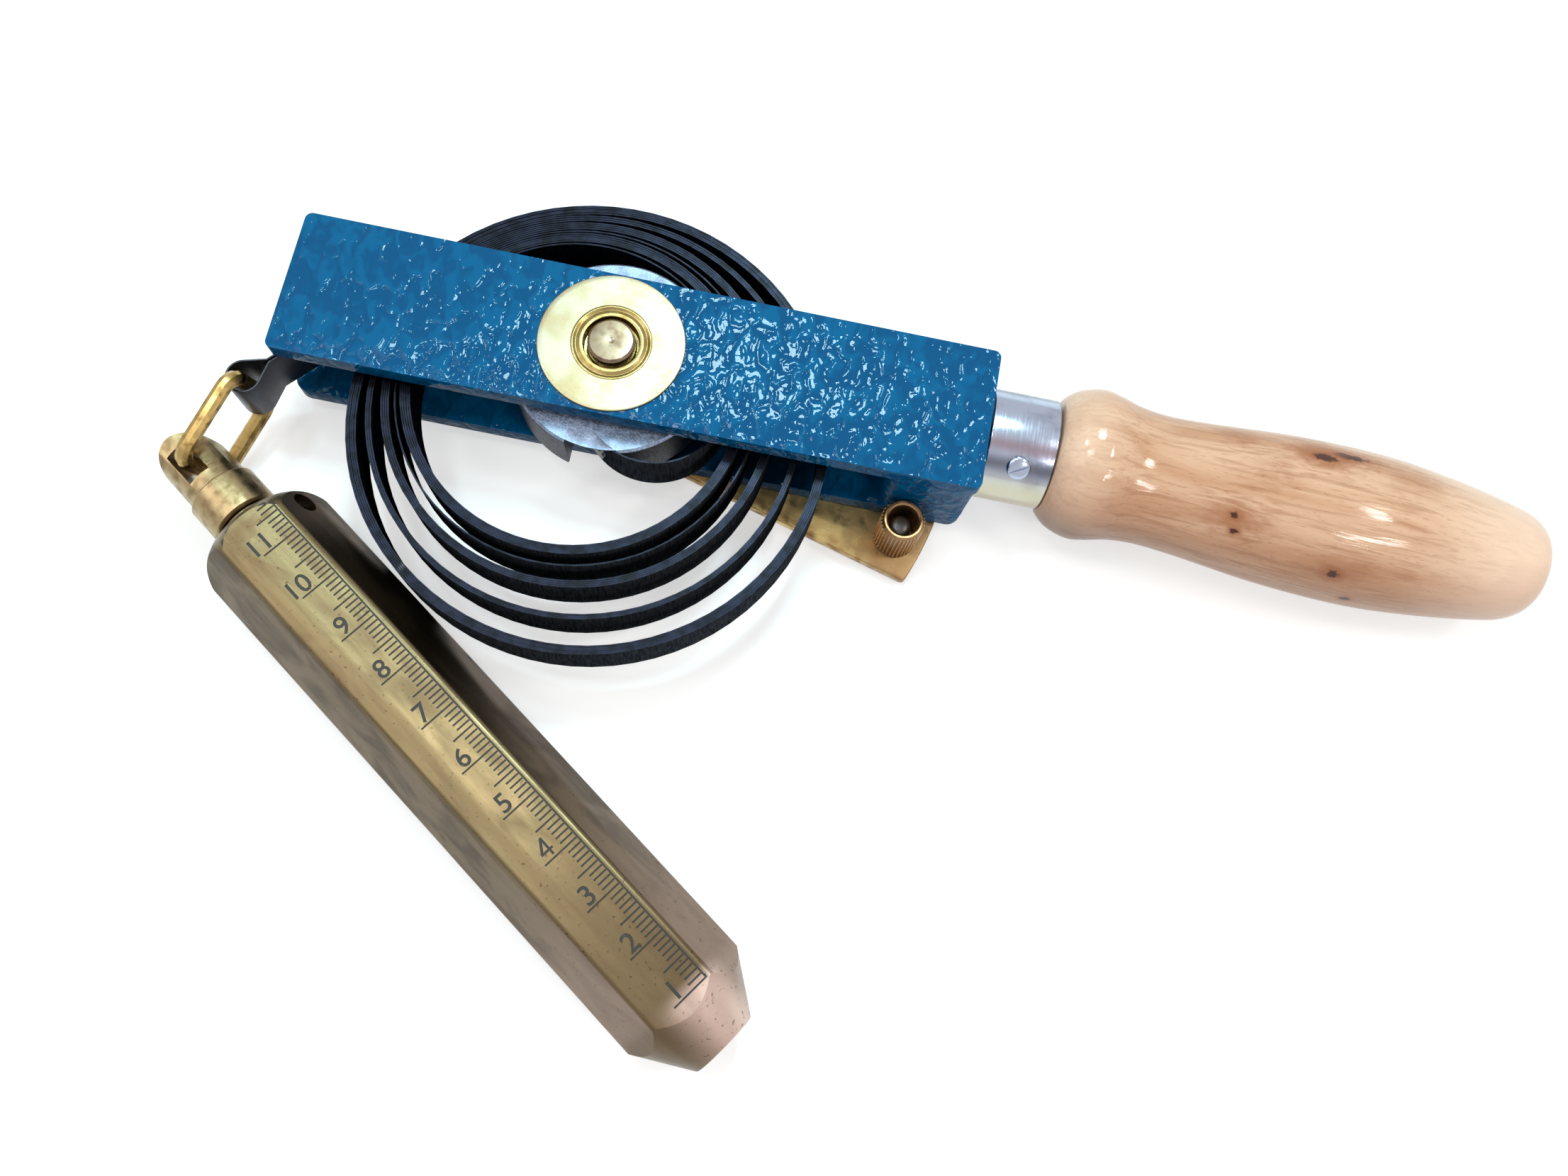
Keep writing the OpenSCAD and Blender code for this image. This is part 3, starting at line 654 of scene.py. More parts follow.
def tapePath():
    # points along the wound tape from the drum's notch to its end, and the way it leaves
    look = tapeLook
    centre = Vector(look.centre)
    loose = along(look.looseAngle)
    tightAngle = look.looseAngle + 180
    near = [
        look.firstReach + at + i * look.groupPitch
        for at, count in zip(look.groupAt, look.groups) for i in range(count)
    ]
    near.append(near[-1] + look.groupPitch)
    far = [look.tightReach + i * look.tightPitch for i in range(len(near))]
    points = []

    def arc(middle, radius, first, last):
        count = max(1, round((last - first) / look.step))
        for i in range(count):
            points.append(middle + along(first + (last - first) * i / count) * radius)

    curl = centre + along(look.curlAngle) * (look.tightReach - look.curlRadius)
    arc(curl, look.curlRadius, -135, look.curlAngle)
    arc(centre, look.tightReach, look.curlAngle, tightAngle)
    for turn in range(len(near) - 1):
        for first, tight in ((tightAngle, far[turn]), (tightAngle + 180, far[turn + 1])):
            middle = centre + loose * (near[turn] - tight) / 2
            arc(middle, (near[turn] + tight) / 2, first, first + 180)
    middle = centre + loose * (near[-1] - far[-1]) / 2
    radius = (near[-1] + far[-1]) / 2
    run = Vector(eye.xy) - middle
    leaveAngle = degrees(atan2(run.y, run.x) - acos(radius / run.length)) % 360
    arc(middle, radius, tightAngle, leaveAngle)
    leaving = along(leaveAngle + 90)
    points.append(middle + along(leaveAngle) * radius)
    points.append(Vector(eye.xy) - leaving * (eyeLook.closes + eyeLook.rivetHead))
    return points, leaving


tapePoints, tapeLeaving = tapePath()


def ribbon(points, low, high, thickness, wave=0.0):
    # an upright edge drawn out along the points, then given its thickness
    bm = bmesh.new()
    foot = bm.verts.new((*points[0], low))
    head = bm.verts.new((*points[0], high))
    edge = bm.edges.new((foot, head))
    travelled = 0.0
    lift = 0.0
    for before, here in zip(points, points[1:]):
        drawn = bmesh.ops.extrude_edge_only(bm, edges=[edge])["geom"]
        verts = [part for part in drawn if isinstance(part, bmesh.types.BMVert)]
        edge = next(part for part in drawn if isinstance(part, bmesh.types.BMEdge))
        move = here - before
        travelled += move.length
        newLift = wave * sin(travelled / 61) * sin(travelled / 23)
        bmesh.ops.translate(bm, vec=(move.x, move.y, newLift - lift), verts=verts)
        lift = newLift
    middle = thickness / 2
    bmesh.ops.recalc_face_normals(bm, faces=bm.faces)
    bm.normal_update()
    for vert in bm.verts:
        vert.co -= Vector((vert.normal.x, vert.normal.y, 0)).normalized() * middle
    bmesh.ops.solidify(bm, geom=bm.faces, thickness=-thickness)
    bmesh.ops.recalc_face_normals(bm, faces=bm.faces)
    return bm


def edgeFaces(bm):
    # the strip's narrow edges and its outward side each take a material of their own; on the tape
    # the outward side takes a lighter copy of the steel, as painted light
    centre = Vector((*tapeLook.centre, 0))
    for face in bm.faces:
        outward = face.normal.dot((face.calc_center_median() - centre).normalized()) > 0
        face.material_index = 1 if abs(face.normal.z) > 0.7 else 2 if outward else 0


def tapeSteel(name, face, faceDark):
    material, here = newMaterial(name, Specular_IOR_Level=0.0)
    brush = noise(stretch(here, (3, 3, 0.3)), 1, 3)
    colour = blend(rise(brush, 0.35, 0.7), face, faceDark)
    return joinMetal(material, colour, brush, (0.24, 0.42))


def tapeEdge():
    material, here = newMaterial("tapeEdge", Metallic=0.8, Roughness=0.38)
    nick = noise(here, 0.5, 4)
    colour = blend(rise(nick, 0.35, 0.7), tapeLook.edge, tapeLook.edgeDark)
    return connect(material, Base_Color=colour)


def makeTape():
    look = tapeLook
    tape = ribbon(tapePoints, tapeLow.z, tapeHigh.z, look.thickness, look.wave)
    edgeFaces(tape)
    steels = [
        tapeSteel("tapeSteel", look.face, look.faceDark),
        tapeEdge(),
        # the outward faces take the lighter copy, as painted light
        tapeSteel("tapeOutsideLit", look.outer, look.outerDark),
    ]
    finishPiece("tapeCoil", tape, steels, "root", "tape_coil")


makeTape()


def darkSteel(name, metal, worn):
    material, here = newMaterial(name, Metallic=0.9)
    patch = noise(here, 0.8, 4)
    fine = noise(here, 6, 3)
    colour = blend(rise(patch, 0.64, 0.86, (0, 0.7)), metal, worn)
    return joinMetal(material, colour, fine, (0.28, 0.5), fine, 0.01)


def makeEye():
    look = eyeLook
    middle = look.bore + look.strip / 2
    legY = tapeLook.thickness / 2 + 0.03 + look.strip / 2
    opening = 180 - degrees(acos(middle / look.closes))
    half = [Vector((-look.closes - look.leg, legY)), Vector((-look.closes, legY))]
    half += [along(opening * (1 - i / 12)) * middle for i in range(12)]
    back = [Vector((point.x, -point.y)) for point in reversed(half)]
    line = half + [Vector((middle, 0))] + back
    strip = ribbon(line, -look.width / 2, look.width / 2, look.strip)
    roundEdges(strip, sharpEdges(strip, 60), look.edge, 2)
    edgeFaces(strip)
    matrix = shift(eye) @ Matrix.Rotation(atan2(tapeLeaving.y, tapeLeaving.x), 4, "Z")
    place(strip, matrix)
    steel = darkSteel("eyeSteel", look.metal, look.worn)
    bright = darkSteel("eyeEdge", look.worn, look.metal)
    finishPiece("tapeEndEye", strip, [steel, bright], "root", "tape_end_eye")
    grip = legY + look.strip / 2 + 0.01
    outline = [(0, -grip), (look.rivet, -grip), (look.rivet, grip)]
    outline += dome(look.rivetHead, grip, look.rivetHigh)
    rivets = []
    for lift in (-look.rivetRise, look.rivetRise):
        spot = shift((-look.rivetBack, 0, lift))
        rivets += [place(lathe(outline, steps=24), spot @ roll(side, "X")) for side in (-90, 90)]
    rivets = place(gather(rivets), matrix)
    finishPiece("eyeRivets", rivets, [steel], "root", "eye_rivets")


makeEye()


linkLook = Look(
    wire=1.45,
    width=15.2,
    height=16.9,
    bend=2.8,
    metal=tone(170, 142, 90),
    metalDark=tone(108, 84, 48),
    stain=0.45,
    stained=(0.48, 0.72),
    rough=(0.18, 0.45),
    marks=(5, 5, 5),
    markDepth=0.012,
)


def tube(points, radius, sides=20):
    # a wire bent through the points, which come back to the first
    curve = bpy.data.curves.new("wire", "CURVE")
    curve.dimensions = "3D"
    curve.bevel_depth = radius
    curve.bevel_resolution = sides // 4 - 2
    spline = curve.splines.new("POLY")
    spline.points.add(len(points) - 1)
    for dot, point in zip(spline.points, points):
        dot.co = (*point, 1)
    spline.use_cyclic_u = True
    return curveShape(curve, 0.001)


def stainedBrass(name, look, origin=(0, 0, 0), turn=0):
    material, here = newMaterial(name, origin, turn, Metallic=1.0)
    stain = noise(here, look.stain, 5)
    marks = noise(stretch(here, look.marks), 1, 3)
    colour = blend(rise(stain, *look.stained), look.metal, look.metalDark)
    return joinMetal(material, colour, stain, look.rough, marks, look.markDepth)


def makeLink():
    look = linkLook
    up = (eye - hang).normalized()
    points = []
    # each corner: the near or far end, the side, and the angle at which its bend starts
    for far, side, first in ((0, -1, 180), (1, -1, 270), (1, 1, 0), (0, 1, 90)):
        corner = Vector((far * look.height, side * look.width / 2))
        centre = corner + Vector((1 - 2 * far, -side)) * look.bend
        points += [centre + along(first + 90 * i / 8) * look.bend for i in range(9)]
    line = [hang + up * point.x + barAxis * point.y for point in points]
    brass = stainedBrass("wireBrass", look)
    finishPiece("wireLink", tube(line, look.wire), [brass], "link", "wire_link")


makeLink()


swivelLook = Look(
    head=5.45,
    collar=6.2,
    collarHigh=7.4,
    length=13.4,
    slotHalf=2.15,
    slotIn=3.6,
    slotOut=2.9,
    stem=3.5,
    stemLong=13.6,
    metal=tone(156, 136, 102),
    metalDark=tone(122, 102, 72),
    stain=0.4,
    stained=(0.44, 0.7),
    rough=(0.24, 0.45),
    marks=(7, 0.35, 0.35),
    markDepth=0.02,
)


def makeSwivel():
    look = swivelLook
    length = look.length
    shoulder = length - look.collarHigh
    body = lathe(softened([
        (0, -look.head - 1), (look.head, -look.head - 1), (look.head, shoulder),
        (look.collar - 0.35, shoulder + 0.01), (look.collar, shoulder + 0.3),
        (look.collar, length - 0.5), (look.collar - 0.5, length), (look.stem, length),
        (look.stem, length + look.stemLong), (0, length + look.stemLong),
    ], 0.15))
    # the end is rounded about the link's bar, which lies along the lathe's own X
    rounding = place(rod(look.head - 0.02, -9, 9, 96), roll(90, "Y"))
    keep = block((-9, -9, 0), (9, 9, length + look.stemLong + 1))
    body = carve(body, [carve(rounding, [keep], "UNION")], "INTERSECT")
    slot = block((-9, -look.slotHalf, -look.slotOut), (9, look.slotHalf, look.slotIn))
    body = carve(body, [slot])
    roundEdges(body, sharpEdges(body, 55), 0.22, 2)
    turned = Matrix((barAxis, bobAxis.cross(barAxis), bobAxis)).transposed().to_4x4()
    place(body, shift(hang) @ turned)
    brass = stainedBrass("swivelBrass", look, hang, bobAngle)
    finishPiece("swivelHead", body, [brass], "swivel", "swivel_head")


makeSwivel()


bobLook = Look(
    flats=21.3,
    tipAt=135,  # from the swivel's eye
    top=15,
    neck=5.7,
    neckHigh=1.2,
    shoulder=6.2,
    tipLong=10.4,
    tip=6,
    edge=0.6,
    stemBore=3.56,
    stemDeep=27.5,
    setHole=2.1,
    setAt=19.656,
    facet=tone(105, 92, 68),
    facetLight=tone(114, 101, 75),
    tarnish=tone(96, 79, 61),
    tarnishDark=tone(66, 53, 43),
    # the copper tip's colour, drawn light as a painted highlight
    copper=tone(206, 178, 166),
    rust=tone(136, 112, 100),
    ink=tone(30, 26, 22),
    # from the swivel's eye, where each colour starts and where it is full
    dullAt=(84, 112),
    rustAt=(88, 122),
    copperAt=(122.5, 126),
)
scaleLook = Look(
    border=5.0,
    first=10,
    last=117,
    short=2.6,
    half=4.2,
    long=6.6,
    line=0.3,
    depth=0.12,
    digitHigh=3.4,
    digitWide=2.3,
    digitLine=0.4,
    digitBold=0.04,
    digitRight=1.3,
    digitGap=0.5,
    typeShare=0.73,  # height of a digit as a share of the typeface's size
)


# the set screw's hole, from the bob's axis out through a sloping flat
setPlace = shift((bobLook.setAt, 0, 0)) @ roll(-60, "X")


def fourShape(high, wide, line):
    # the letterform of the typeface cuts badly, so this digit is three strokes made one
    upright = block((-0.2 * wide - line, 0, -1), (-0.2 * wide, high, 1))
    bar = block((-wide, 0.24 * high, -1), (0, 0.24 * high + line, 1))
    slope = prism([
        (-wide, 0.24 * high + line / 2), (-0.6 * wide, 0.24 * high + line / 2),
        (-0.2 * wide - line / 2, high - line), (-0.2 * wide - line / 2, high),
        (-0.2 * wide - line, high), (-wide, 0.24 * high + line),
    ], -1, 1)
    hole = prism([
        (-wide + 1.4 * line, 0.24 * high + line), (-0.2 * wide - line, 0.24 * high + line),
        (-0.2 * wide - line, high - 2 * line),
    ], -2, 2)
    return carve(carve(slope, [hole]), [upright, bar], "UNION")


def digitShape(text, height):
    curve = bpy.data.curves.new("digits", "FONT")
    curve.body = text
    curve.size = height / scaleLook.typeShare
    curve.align_x = "RIGHT"
    curve.extrude = 1
    curve.offset = scaleLook.digitBold
    return curveShape(curve, 0.0005)


def scaleCutters():
    # the marks are cut into the top flat, counted in millimetres from the tip
    look = scaleLook
    top = bobLook.flats / 2
    floor = top - look.depth
    half = look.line / 2
    border = look.border
    tipAt = bobLook.tipAt
    marks = [block(
        (tipAt - look.last - half, border, floor),
        (tipAt - look.first + half, border + look.line, top + 1),
    )]
    digits = []
    for mark in range(look.first, look.last + 1):
        at = tipAt - mark
        whole = mark % 10 == 0
        reach = look.long if whole else look.half if mark % 5 == 0 else look.short
        marks.append(block(
            (at - half, border - reach, floor), (at + half, border - 0.03, top + 1),
        ))
        if whole:
            digit = (
                fourShape(look.digitHigh, look.digitWide, look.digitLine) if mark == 40
                else digitShape(str(mark // 10), look.digitHigh)
            )
            spot = (at - look.digitGap, look.digitRight, floor + 1)
            digits.append(place(digit, shift(spot) @ roll(90, "Z")))
    return gather(marks), gather(digits)


def bobBrass():
    look = bobLook
    material, here = newMaterial("bobBrass", hang, bobAngle, Metallic=1.0)
    x, y, _ = split(here)
    streak = noise(stretch(here, (0.06, 0.8, 0.8)), 0.9, 3)
    cloud = noise(stretch(here, (0.4, 1, 1)), 0.2, 6, 0.8)
    specks = noise(here, 1.4, 5)
    colour = blend(rise(streak, 0.35, 0.65), look.facet, look.facetLight)
    colour = blend(rise(cloud, 0.48, 0.7, (0, 0.6)), colour, look.tarnish)
    colour = blend(rise(x, *look.dullAt, (0, 0.6)), colour, look.tarnish)
    # painted shade: the side facets are drawn darker than the top flat; the patchy tarnish and
    # rust on them are the brass's own colour
    side = rise(calc("ABSOLUTE", y), 6.0, 6.7)
    dark = rise(cloud, 0.4, 0.66, (0, 0.8))
    stained = blend(dark, look.tarnish, look.tarnishDark)
    stained = blend(rise(x, *look.rustAt, (0, 0.7)), stained, look.rust)
    colour = blend(calc("MULTIPLY", side, 0.85), colour, stained)
    # painted highlight and shade across the copper tip: darker at low y, a light copper highlight
    # about the middle, darker again past y 5
    tip = rise(x, *look.copperAt)
    worn = blend(rise(y, -6, 3), look.tarnish, look.copper)
    worn = blend(rise(y, 5, 9, (0, 0.7)), worn, look.tarnish)
    colour = blend(calc("MULTIPLY", tip, 0.85), colour, worn)
    colour = blend(rise(specks, 0.62, 0.72, (0, 0.7)), colour, look.tarnishDark)
    height = calc("MULTIPLY_ADD", specks, 0.3, calc("MULTIPLY", streak, 0.4))
    return joinMetal(material, colour, cloud, (0.28, 0.42), height, 0.02)


def scaleInk():
    material, here = newMaterial("scaleInk", hang, bobAngle, Roughness=0.6)
    worn = noise(here, 1.1, 3)
    colour = blend(rise(worn, 0.6, 0.78, (0, 0.5)), bobLook.ink, bobLook.tarnish)
    return connect(material, Base_Color=colour)


def makeBob():
    look = bobLook
    corner = look.flats / sqrt(3)
    low = look.top - look.neckHigh
    bar = prism([along(30 + 60 * i) * corner for i in range(6)], low, look.tipAt)
    roundEdges(bar, uprightEdges(bar), look.edge, 4)
    neck = look.neck + 1
    shoulder = [
        (neck + (corner - neck) * sin(radians(a)),
         look.top + look.shoulder * (1 - cos(radians(a))))
        for a in range(90, -1, -10)
    ]
    tip = softened([
        (0, look.tipAt), (look.tip, look.tipAt),
        (corner + 0.2, look.tipAt - look.tipLong),
    ], 0.5)
    turned = lathe(tip + shoulder + [(look.neck, look.top), (look.neck, low), (0, low)], steps=144)
    bob = carve(bar, [turned], "INTERSECT")
    # the lathe's axis is turned to lie along X, with a flat on top
    place(bob, roll(90, "Y"))
    stemBore = place(rod(look.stemBore, -1, look.stemDeep), roll(90, "Y"))
    setHole = place(rod(look.setHole, 0, corner + 1, 48), setPlace)
    bob = carve(bob, [stemBore, setHole])
    bob = carve(bob, scaleCutters())
    # the floors of the marks carry the ink
    top = look.flats / 2
    reach = scaleLook.border + scaleLook.line
    for face in bob.faces:
        middle = face.calc_center_median()
        inked = top - 0.2 < middle.z < top - 0.005 and abs(middle.y) < reach
        face.material_index = 1 if inked and look.top < middle.x < look.tipAt - 8 else 0
    place(bob, bobPlace)
    finishPiece("plumbBob", bob, [bobBrass(), scaleInk()], "bob", "plumb_bob", 25)


makeBob()


setScrewLook = Look(
    tip=1.2,
    tipFrom=2.8,  # from the bob's axis
    tipTo=4.5,
    end=9.05,
    slot=0.8,
    metal=tone(48, 44, 42),
    worn=tone(110, 100, 88),
)


def makeSetScrew():
    look = setScrewLook
    radius = bobLook.setHole - 0.03
    line = [
        (0, look.tipFrom), (look.tip, look.tipFrom), (look.tip, look.tipTo),
        (radius, look.tipTo), (radius, look.end), (0, look.end),
    ]
    screw = lathe(softened(line, 0.15), steps=48)
    half = look.slot / 2
    screw = carve(screw, [block((-half, -3, look.end - 1), (half, 3, look.end + 1))])
    place(screw, bobPlace @ setPlace)
    steel = darkSteel("setScrewSteel", look.metal, look.worn)
    finishPiece("bobSetScrew", screw, [steel], "bob", "bob_set_screw")


makeSetScrew()


crankLook = Look(
    hub=8.9,
    endHalf=6.9,
    radius=59.4,
    margin=5.6,
    edge=0.35,
    corner=2,
    squareHole=5.64,
    pinHole=1.32,
    metal=tone(204, 178, 120),
    metalDark=tone(138, 108, 70),
    brown=tone(130, 101, 75),
    brownAt=(44, 62),
)


def sheetBrass():
    look = crankLook
    material, here = newMaterial("sheetBrass", (0, 0, 0), crankAngle, Metallic=1.0)
    x, y, _ = split(here)
    brush = noise(stretch(here, (0.15, 3, 3)), 1, 3)
    stain = noise(here, 0.3, 5, 0.5)
    rim = rise(calc("ABSOLUTE", y), 4.6, 7.4, (0.3, 1))
    stained = calc("MULTIPLY", rise(stain, 0.34, 0.62), rim)
    colour = blend(stained, look.metal, look.metalDark)
    colour = blend(rise(x, *look.brownAt, (0, 0.75)), colour, look.brown)
    return joinMetal(material, colour, stain, (0.24, 0.46), brush, 0.012)


def makeCrankPlate():
    look = crankLook
    end = look.radius + look.margin
    first = degrees(asin(look.endHalf / end))
    hubTurn = degrees(atan2(look.hub - look.endHalf, end))
    hubArc = [along(90 - hubTurn + i * (180 + 2 * hubTurn) / 24) * look.hub for i in range(25)]
    endArc = [along(-first + i * 2 * first / 8) * end for i in range(9)]
    plate = prism(softened(hubArc + endArc, look.corner, closed=True), plateLow.z, plateHigh.z)
    roundEdges(plate, sharpEdges(plate, 60), look.edge)
    foot = plateLow.z - 1
    top = plateHigh.z + 1
    half = look.squareHole / 2
    hole = rod(look.pinHole, foot, top, 32)
    place(hole, shift((look.radius, 0, 0)))
    plate = carve(plate, [block((-half, -half, foot), (half, half, top)), hole])
    place(plate, crankTurn)
    finishPiece("crankPlate", plate, [sheetBrass()], "reel", "crank_plate")


makeCrankPlate()


screwLook = Look(
    flats=11,
    chamfer=0.25,
    slope=60,
    shank=1.9,
    metal=tone(176, 176, 178),
    worn=tone(110, 108, 106),
)


def makeCrankScrew():
    look = screwLook
    corner = look.flats / sqrt(3)
    face = look.flats / 2 - look.chamfer
    high = plateLow.z
    wide = face + high * tan(radians(look.slope))
    head = prism([along(60 * i) * corner for i in range(6)], 0, high)
    head = carve(head, [lathe([(0, 0), (face, 0), (wide, high), (0, high)])], "INTERSECT")
    shank = rod(look.shank, high - 0.3, plateHigh.z + armThick - 0.2, 48)
    screw = place(carve(head, [shank], "UNION"), crankTurn)
    steel = darkSteel("screwSteel", look.metal, look.worn)
    finishPiece("crankScrew", screw, [steel], "reel", "crank_screw")


makeCrankScrew()


knobLook = Look(
    radius=4.05,
    bore=2.85,
    ribs=36,
    ribDepth=0.28,
    rim=0.7,
    metal=tone(168, 132, 96),
    metalDark=tone(84, 61, 42),
    chamfer=0.35,
    web=2,
    pinHole=1.36,
    pinHead=2.0,
    pinDome=0.8,
    pin=1.3,
    recess=3,
    pinMetal=tone(84, 82, 80),
    pinWorn=tone(126, 122, 118),
)


def knobBrass():
    look = knobLook
    material, here = newMaterial("knobBrass", knob, Metallic=1.0)
    x, y, z = split(here)
    ribFoot = look.radius - look.ribDepth
    groove = rise(fromAxis(x, y), ribFoot, look.radius - 0.04, (1, 0))
    low = rise(z, 0, knobHigh.z - knobLow.z - 0.3, (1, 0))
    stain = noise(here, 0.7, 4)
    # darker in the knurl's grooves and towards the knob's foot
    darkerInGroovesAndLow = calc("MULTIPLY", groove, calc("MULTIPLY_ADD", low, 0.5, 0.35))
    darkerInGroovesAndLow = calc("MAXIMUM", darkerInGroovesAndLow, rise(stain, 0.5, 0.75, (0, 0.6)))
    colour = blend(darkerInGroovesAndLow, look.metal, look.metalDark)
    return joinMetal(material, colour, stain, (0.26, 0.45))


def makeKnob():
    look = knobLook
    foot = knobLow.z
    top = knobHigh.z
    radius = look.radius
    bore = look.bore
    chamfer = look.chamfer
    web = foot + look.web
    spot = shift((knob.x, knob.y, 0))
    corners = 4 * look.ribs
    body = prism([
        along(i * 360 / corners) * (radius - look.ribDepth * (i % 4 in (2, 3)))
        for i in range(corners)
    ], foot, top)
    chamfered = lathe([
        (0, foot), (radius - chamfer, foot), (radius, foot + chamfer),
        (radius, top - look.rim), (radius - look.rim * 0.8, top), (0, top),
    ])
    body = carve(body, [chamfered], "INTERSECT")
    hollow = lathe([
        (0, web), (bore, web), (bore, top - 0.3),
        (bore + chamfer, top + 0.05), (bore + chamfer, top + 1), (0, top + 1),
    ])
    body = carve(body, [hollow, rod(look.pinHole, foot - 1, foot + 3, 32)])
    place(body, spot)
    finishPiece("crankKnob", body, [knobBrass()], "knob", "crank_knob", 28)
    seat = web + 0.1
    outline = [(0, plateLow.z), (look.pin, plateLow.z), (look.pin, seat), (look.pinHead, seat)]
    outline += dome(look.pinHead, top - look.recess - look.pinDome, look.pinDome)
    pin = place(lathe(outline, steps=48), spot)
    steel = darkSteel("pinSteel", look.pinMetal, look.pinWorn)
    finishPiece("knobPin", pin, [steel], "reel", "knob_pin")


makeKnob()


ferruleLook = Look(
    wall=1,
    metal=tone(168, 176, 194),
    metalDark=tone(124, 130, 148),
    # painted reflections on the plating: from one side to the other, in millimetres, and the
    # colour between them
    bands=(
        (6.6, 9.2, tone(72, 76, 94)),
        (-5.6, -1.6, tone(150, 132, 142)),
        (-8.6, -4.6, tone(98, 98, 110)),
        (-12.5, -7.2, tone(186, 176, 148)),
    ),
    screwAngle=42,
    screwHead=2.15,
    headRim=0.15,
    headDome=0.7,
    shank=1.2,
    shankLong=5,
    slot=0.5,
    slotFloor=0.45,
    slotAngle=30,
)


def platedSteel(name, withPaintedReflections=False):
    look = ferruleLook
    material, here = newMaterial(name, (0, 0, axisZ), Metallic=1.0)
    marks = noise(stretch(here, (4, 0.15, 0.15)), 1.2, 3)
    cloud = noise(here, 0.25, 4)
    colour = blend(rise(cloud, 0.45, 0.75, (0, 0.7)), look.metal, look.metalDark)
    if withPaintedReflections:
        # painted reflections: soft dark and warm bands along the plating, standing for the
        # surroundings mirrored in it
        y = split(here)["Y"]
        for low, high, reflectionTone in look.bands:
            middle = (low + high) / 2
            leaving = rise(y, middle, high, (1, 0))
            reflectionMask = calc("MULTIPLY", rise(y, low, middle), leaving)
            colour = blend(calc("MULTIPLY", reflectionMask, 0.85), colour, reflectionTone)
    return joinMetal(material, colour, marks, (0.12, 0.24), marks, 0.003)


def makeFerrule():
    look = ferruleLook
    radius = ferruleHigh.y
    inner = radius - look.wall
    low = ferruleLow.x
    high = ferruleHigh.x
    ring = lathe(softened(
        [(inner, low), (radius, low), (radius, high), (inner, high)], 0.3, closed=True,
    ), closed=True, steps=128)
    place(ring, shift((0, 0, axisZ)) @ roll(90, "Y"))
    spot = shift(((low + high) / 2, 0, axisZ)) @ roll(look.screwAngle, "X")
    ring = carve(ring, [place(rod(look.shank + 0.02, 0, 2 * radius, 32), spot)])
    # the ferrule takes the painted reflection bands, its screw does not
    plating = [platedSteel("platedSteel", True)]
    finishPiece("ferrule", ring, plating, "root", "ferrule")
    head = radius + 0.02
    shank = look.shank
    foot = radius - look.shankLong
    line = [(0, foot), (shank, foot), (shank, head), (look.screwHead, head)]
    line += dome(look.screwHead, head + look.headRim, look.headDome)
    half = look.slot / 2
    slot = block((-3, -half, head + look.slotFloor), (3, half, head + 2))
    place(slot, roll(look.slotAngle, "Z"))
    screw = place(carve(lathe(line, steps=64), [slot]), spot)
    plating = [platedSteel("screwPlate")]
    finishPiece("ferruleScrew", screw, plating, "root", "ferrule_screw")


makeFerrule()


handleLook = Look(
    lean=-2.3,
    # place along the handle, and its radius there
    stations=(
        (0.5, 10.2), (1.2, 11.3), (3.4, 12.9), (7.2, 13.95), (10.5, 13.5), (14.5, 12.5),
        (19.5, 12.05), (26, 12.35), (33, 13.0), (41, 13.75), (49, 14.15), (57, 14.25),
        (64, 13.95), (71, 13.2), (78, 12.2), (84, 11.1), (88, 10.0), (90.6, 8.2),
        (91.9, 5.4), (92.4, 2.6), (92.55, 0),
    ),
    pale=tone(198, 155, 126),
    mid=tone(178, 130, 99),
    grain=tone(142, 92, 62),
    # painted shade: the colour of the wood's low side
    under=tone(88, 54, 34),
    endPale=tone(228, 193, 170),
    knot=tone(62, 30, 16),
    halo=tone(140, 80, 46),
    # place on the wood, radius along it and across it
    knots=(
        ((50.8, 7.9, 11.9), 3.2, 0.9), ((46.0, 6.4, 12.6), 2.0, 1.1),
        ((52.2, -12.5, 6.9), 1.1, 0.9), ((32.3, -7.5, 10.6), 0.8, 0.6),
        ((33.1, -9.7, 8.7), 0.7, 0.5), ((57.5, -14.2, 1.1), 0.9, 0.6),
    ),
    # broad stains in the wood: place, radius, strength
    stains=(
        ((46, 7, 12), 10, 0.7), ((33, -8, 10), 8, 0.6), ((31, 8, 10), 6, 0.6),
        ((38, 1, 13), 7, 0.35), ((53, -11, 8), 8, 0.4), ((62, 6, 12), 9, 0.35),
    ),
)


def smoothLine(stations, steps=5):
    line = []
    for i in range(len(stations) - 1):
        before = Vector(stations[max(i - 1, 0)])
        first = Vector(stations[i])
        second = Vector(stations[i + 1])
        after = Vector(stations[min(i + 2, len(stations) - 1)])
        for step in range(steps):
            t = step / steps
            line.append(0.5 * (
                2 * first + (second - before) * t
                + (2 * before - 5 * first + 4 * second - after) * t ** 2
                + (3 * first - before - 3 * second + after) * t ** 3
            ))
    return line + [Vector(stations[-1])]


def spotDistance(here, spot, long, wide):
    offset = addNode("ShaderNodeVectorMath", {0: here, 1: spot}, operation="SUBTRACT").outputs[0]
    scaled = stretch(offset, (1 / long, 1 / wide, 1 / wide))
    return addNode("ShaderNodeVectorMath", {0: scaled}, operation="LENGTH").outputs["Value"]


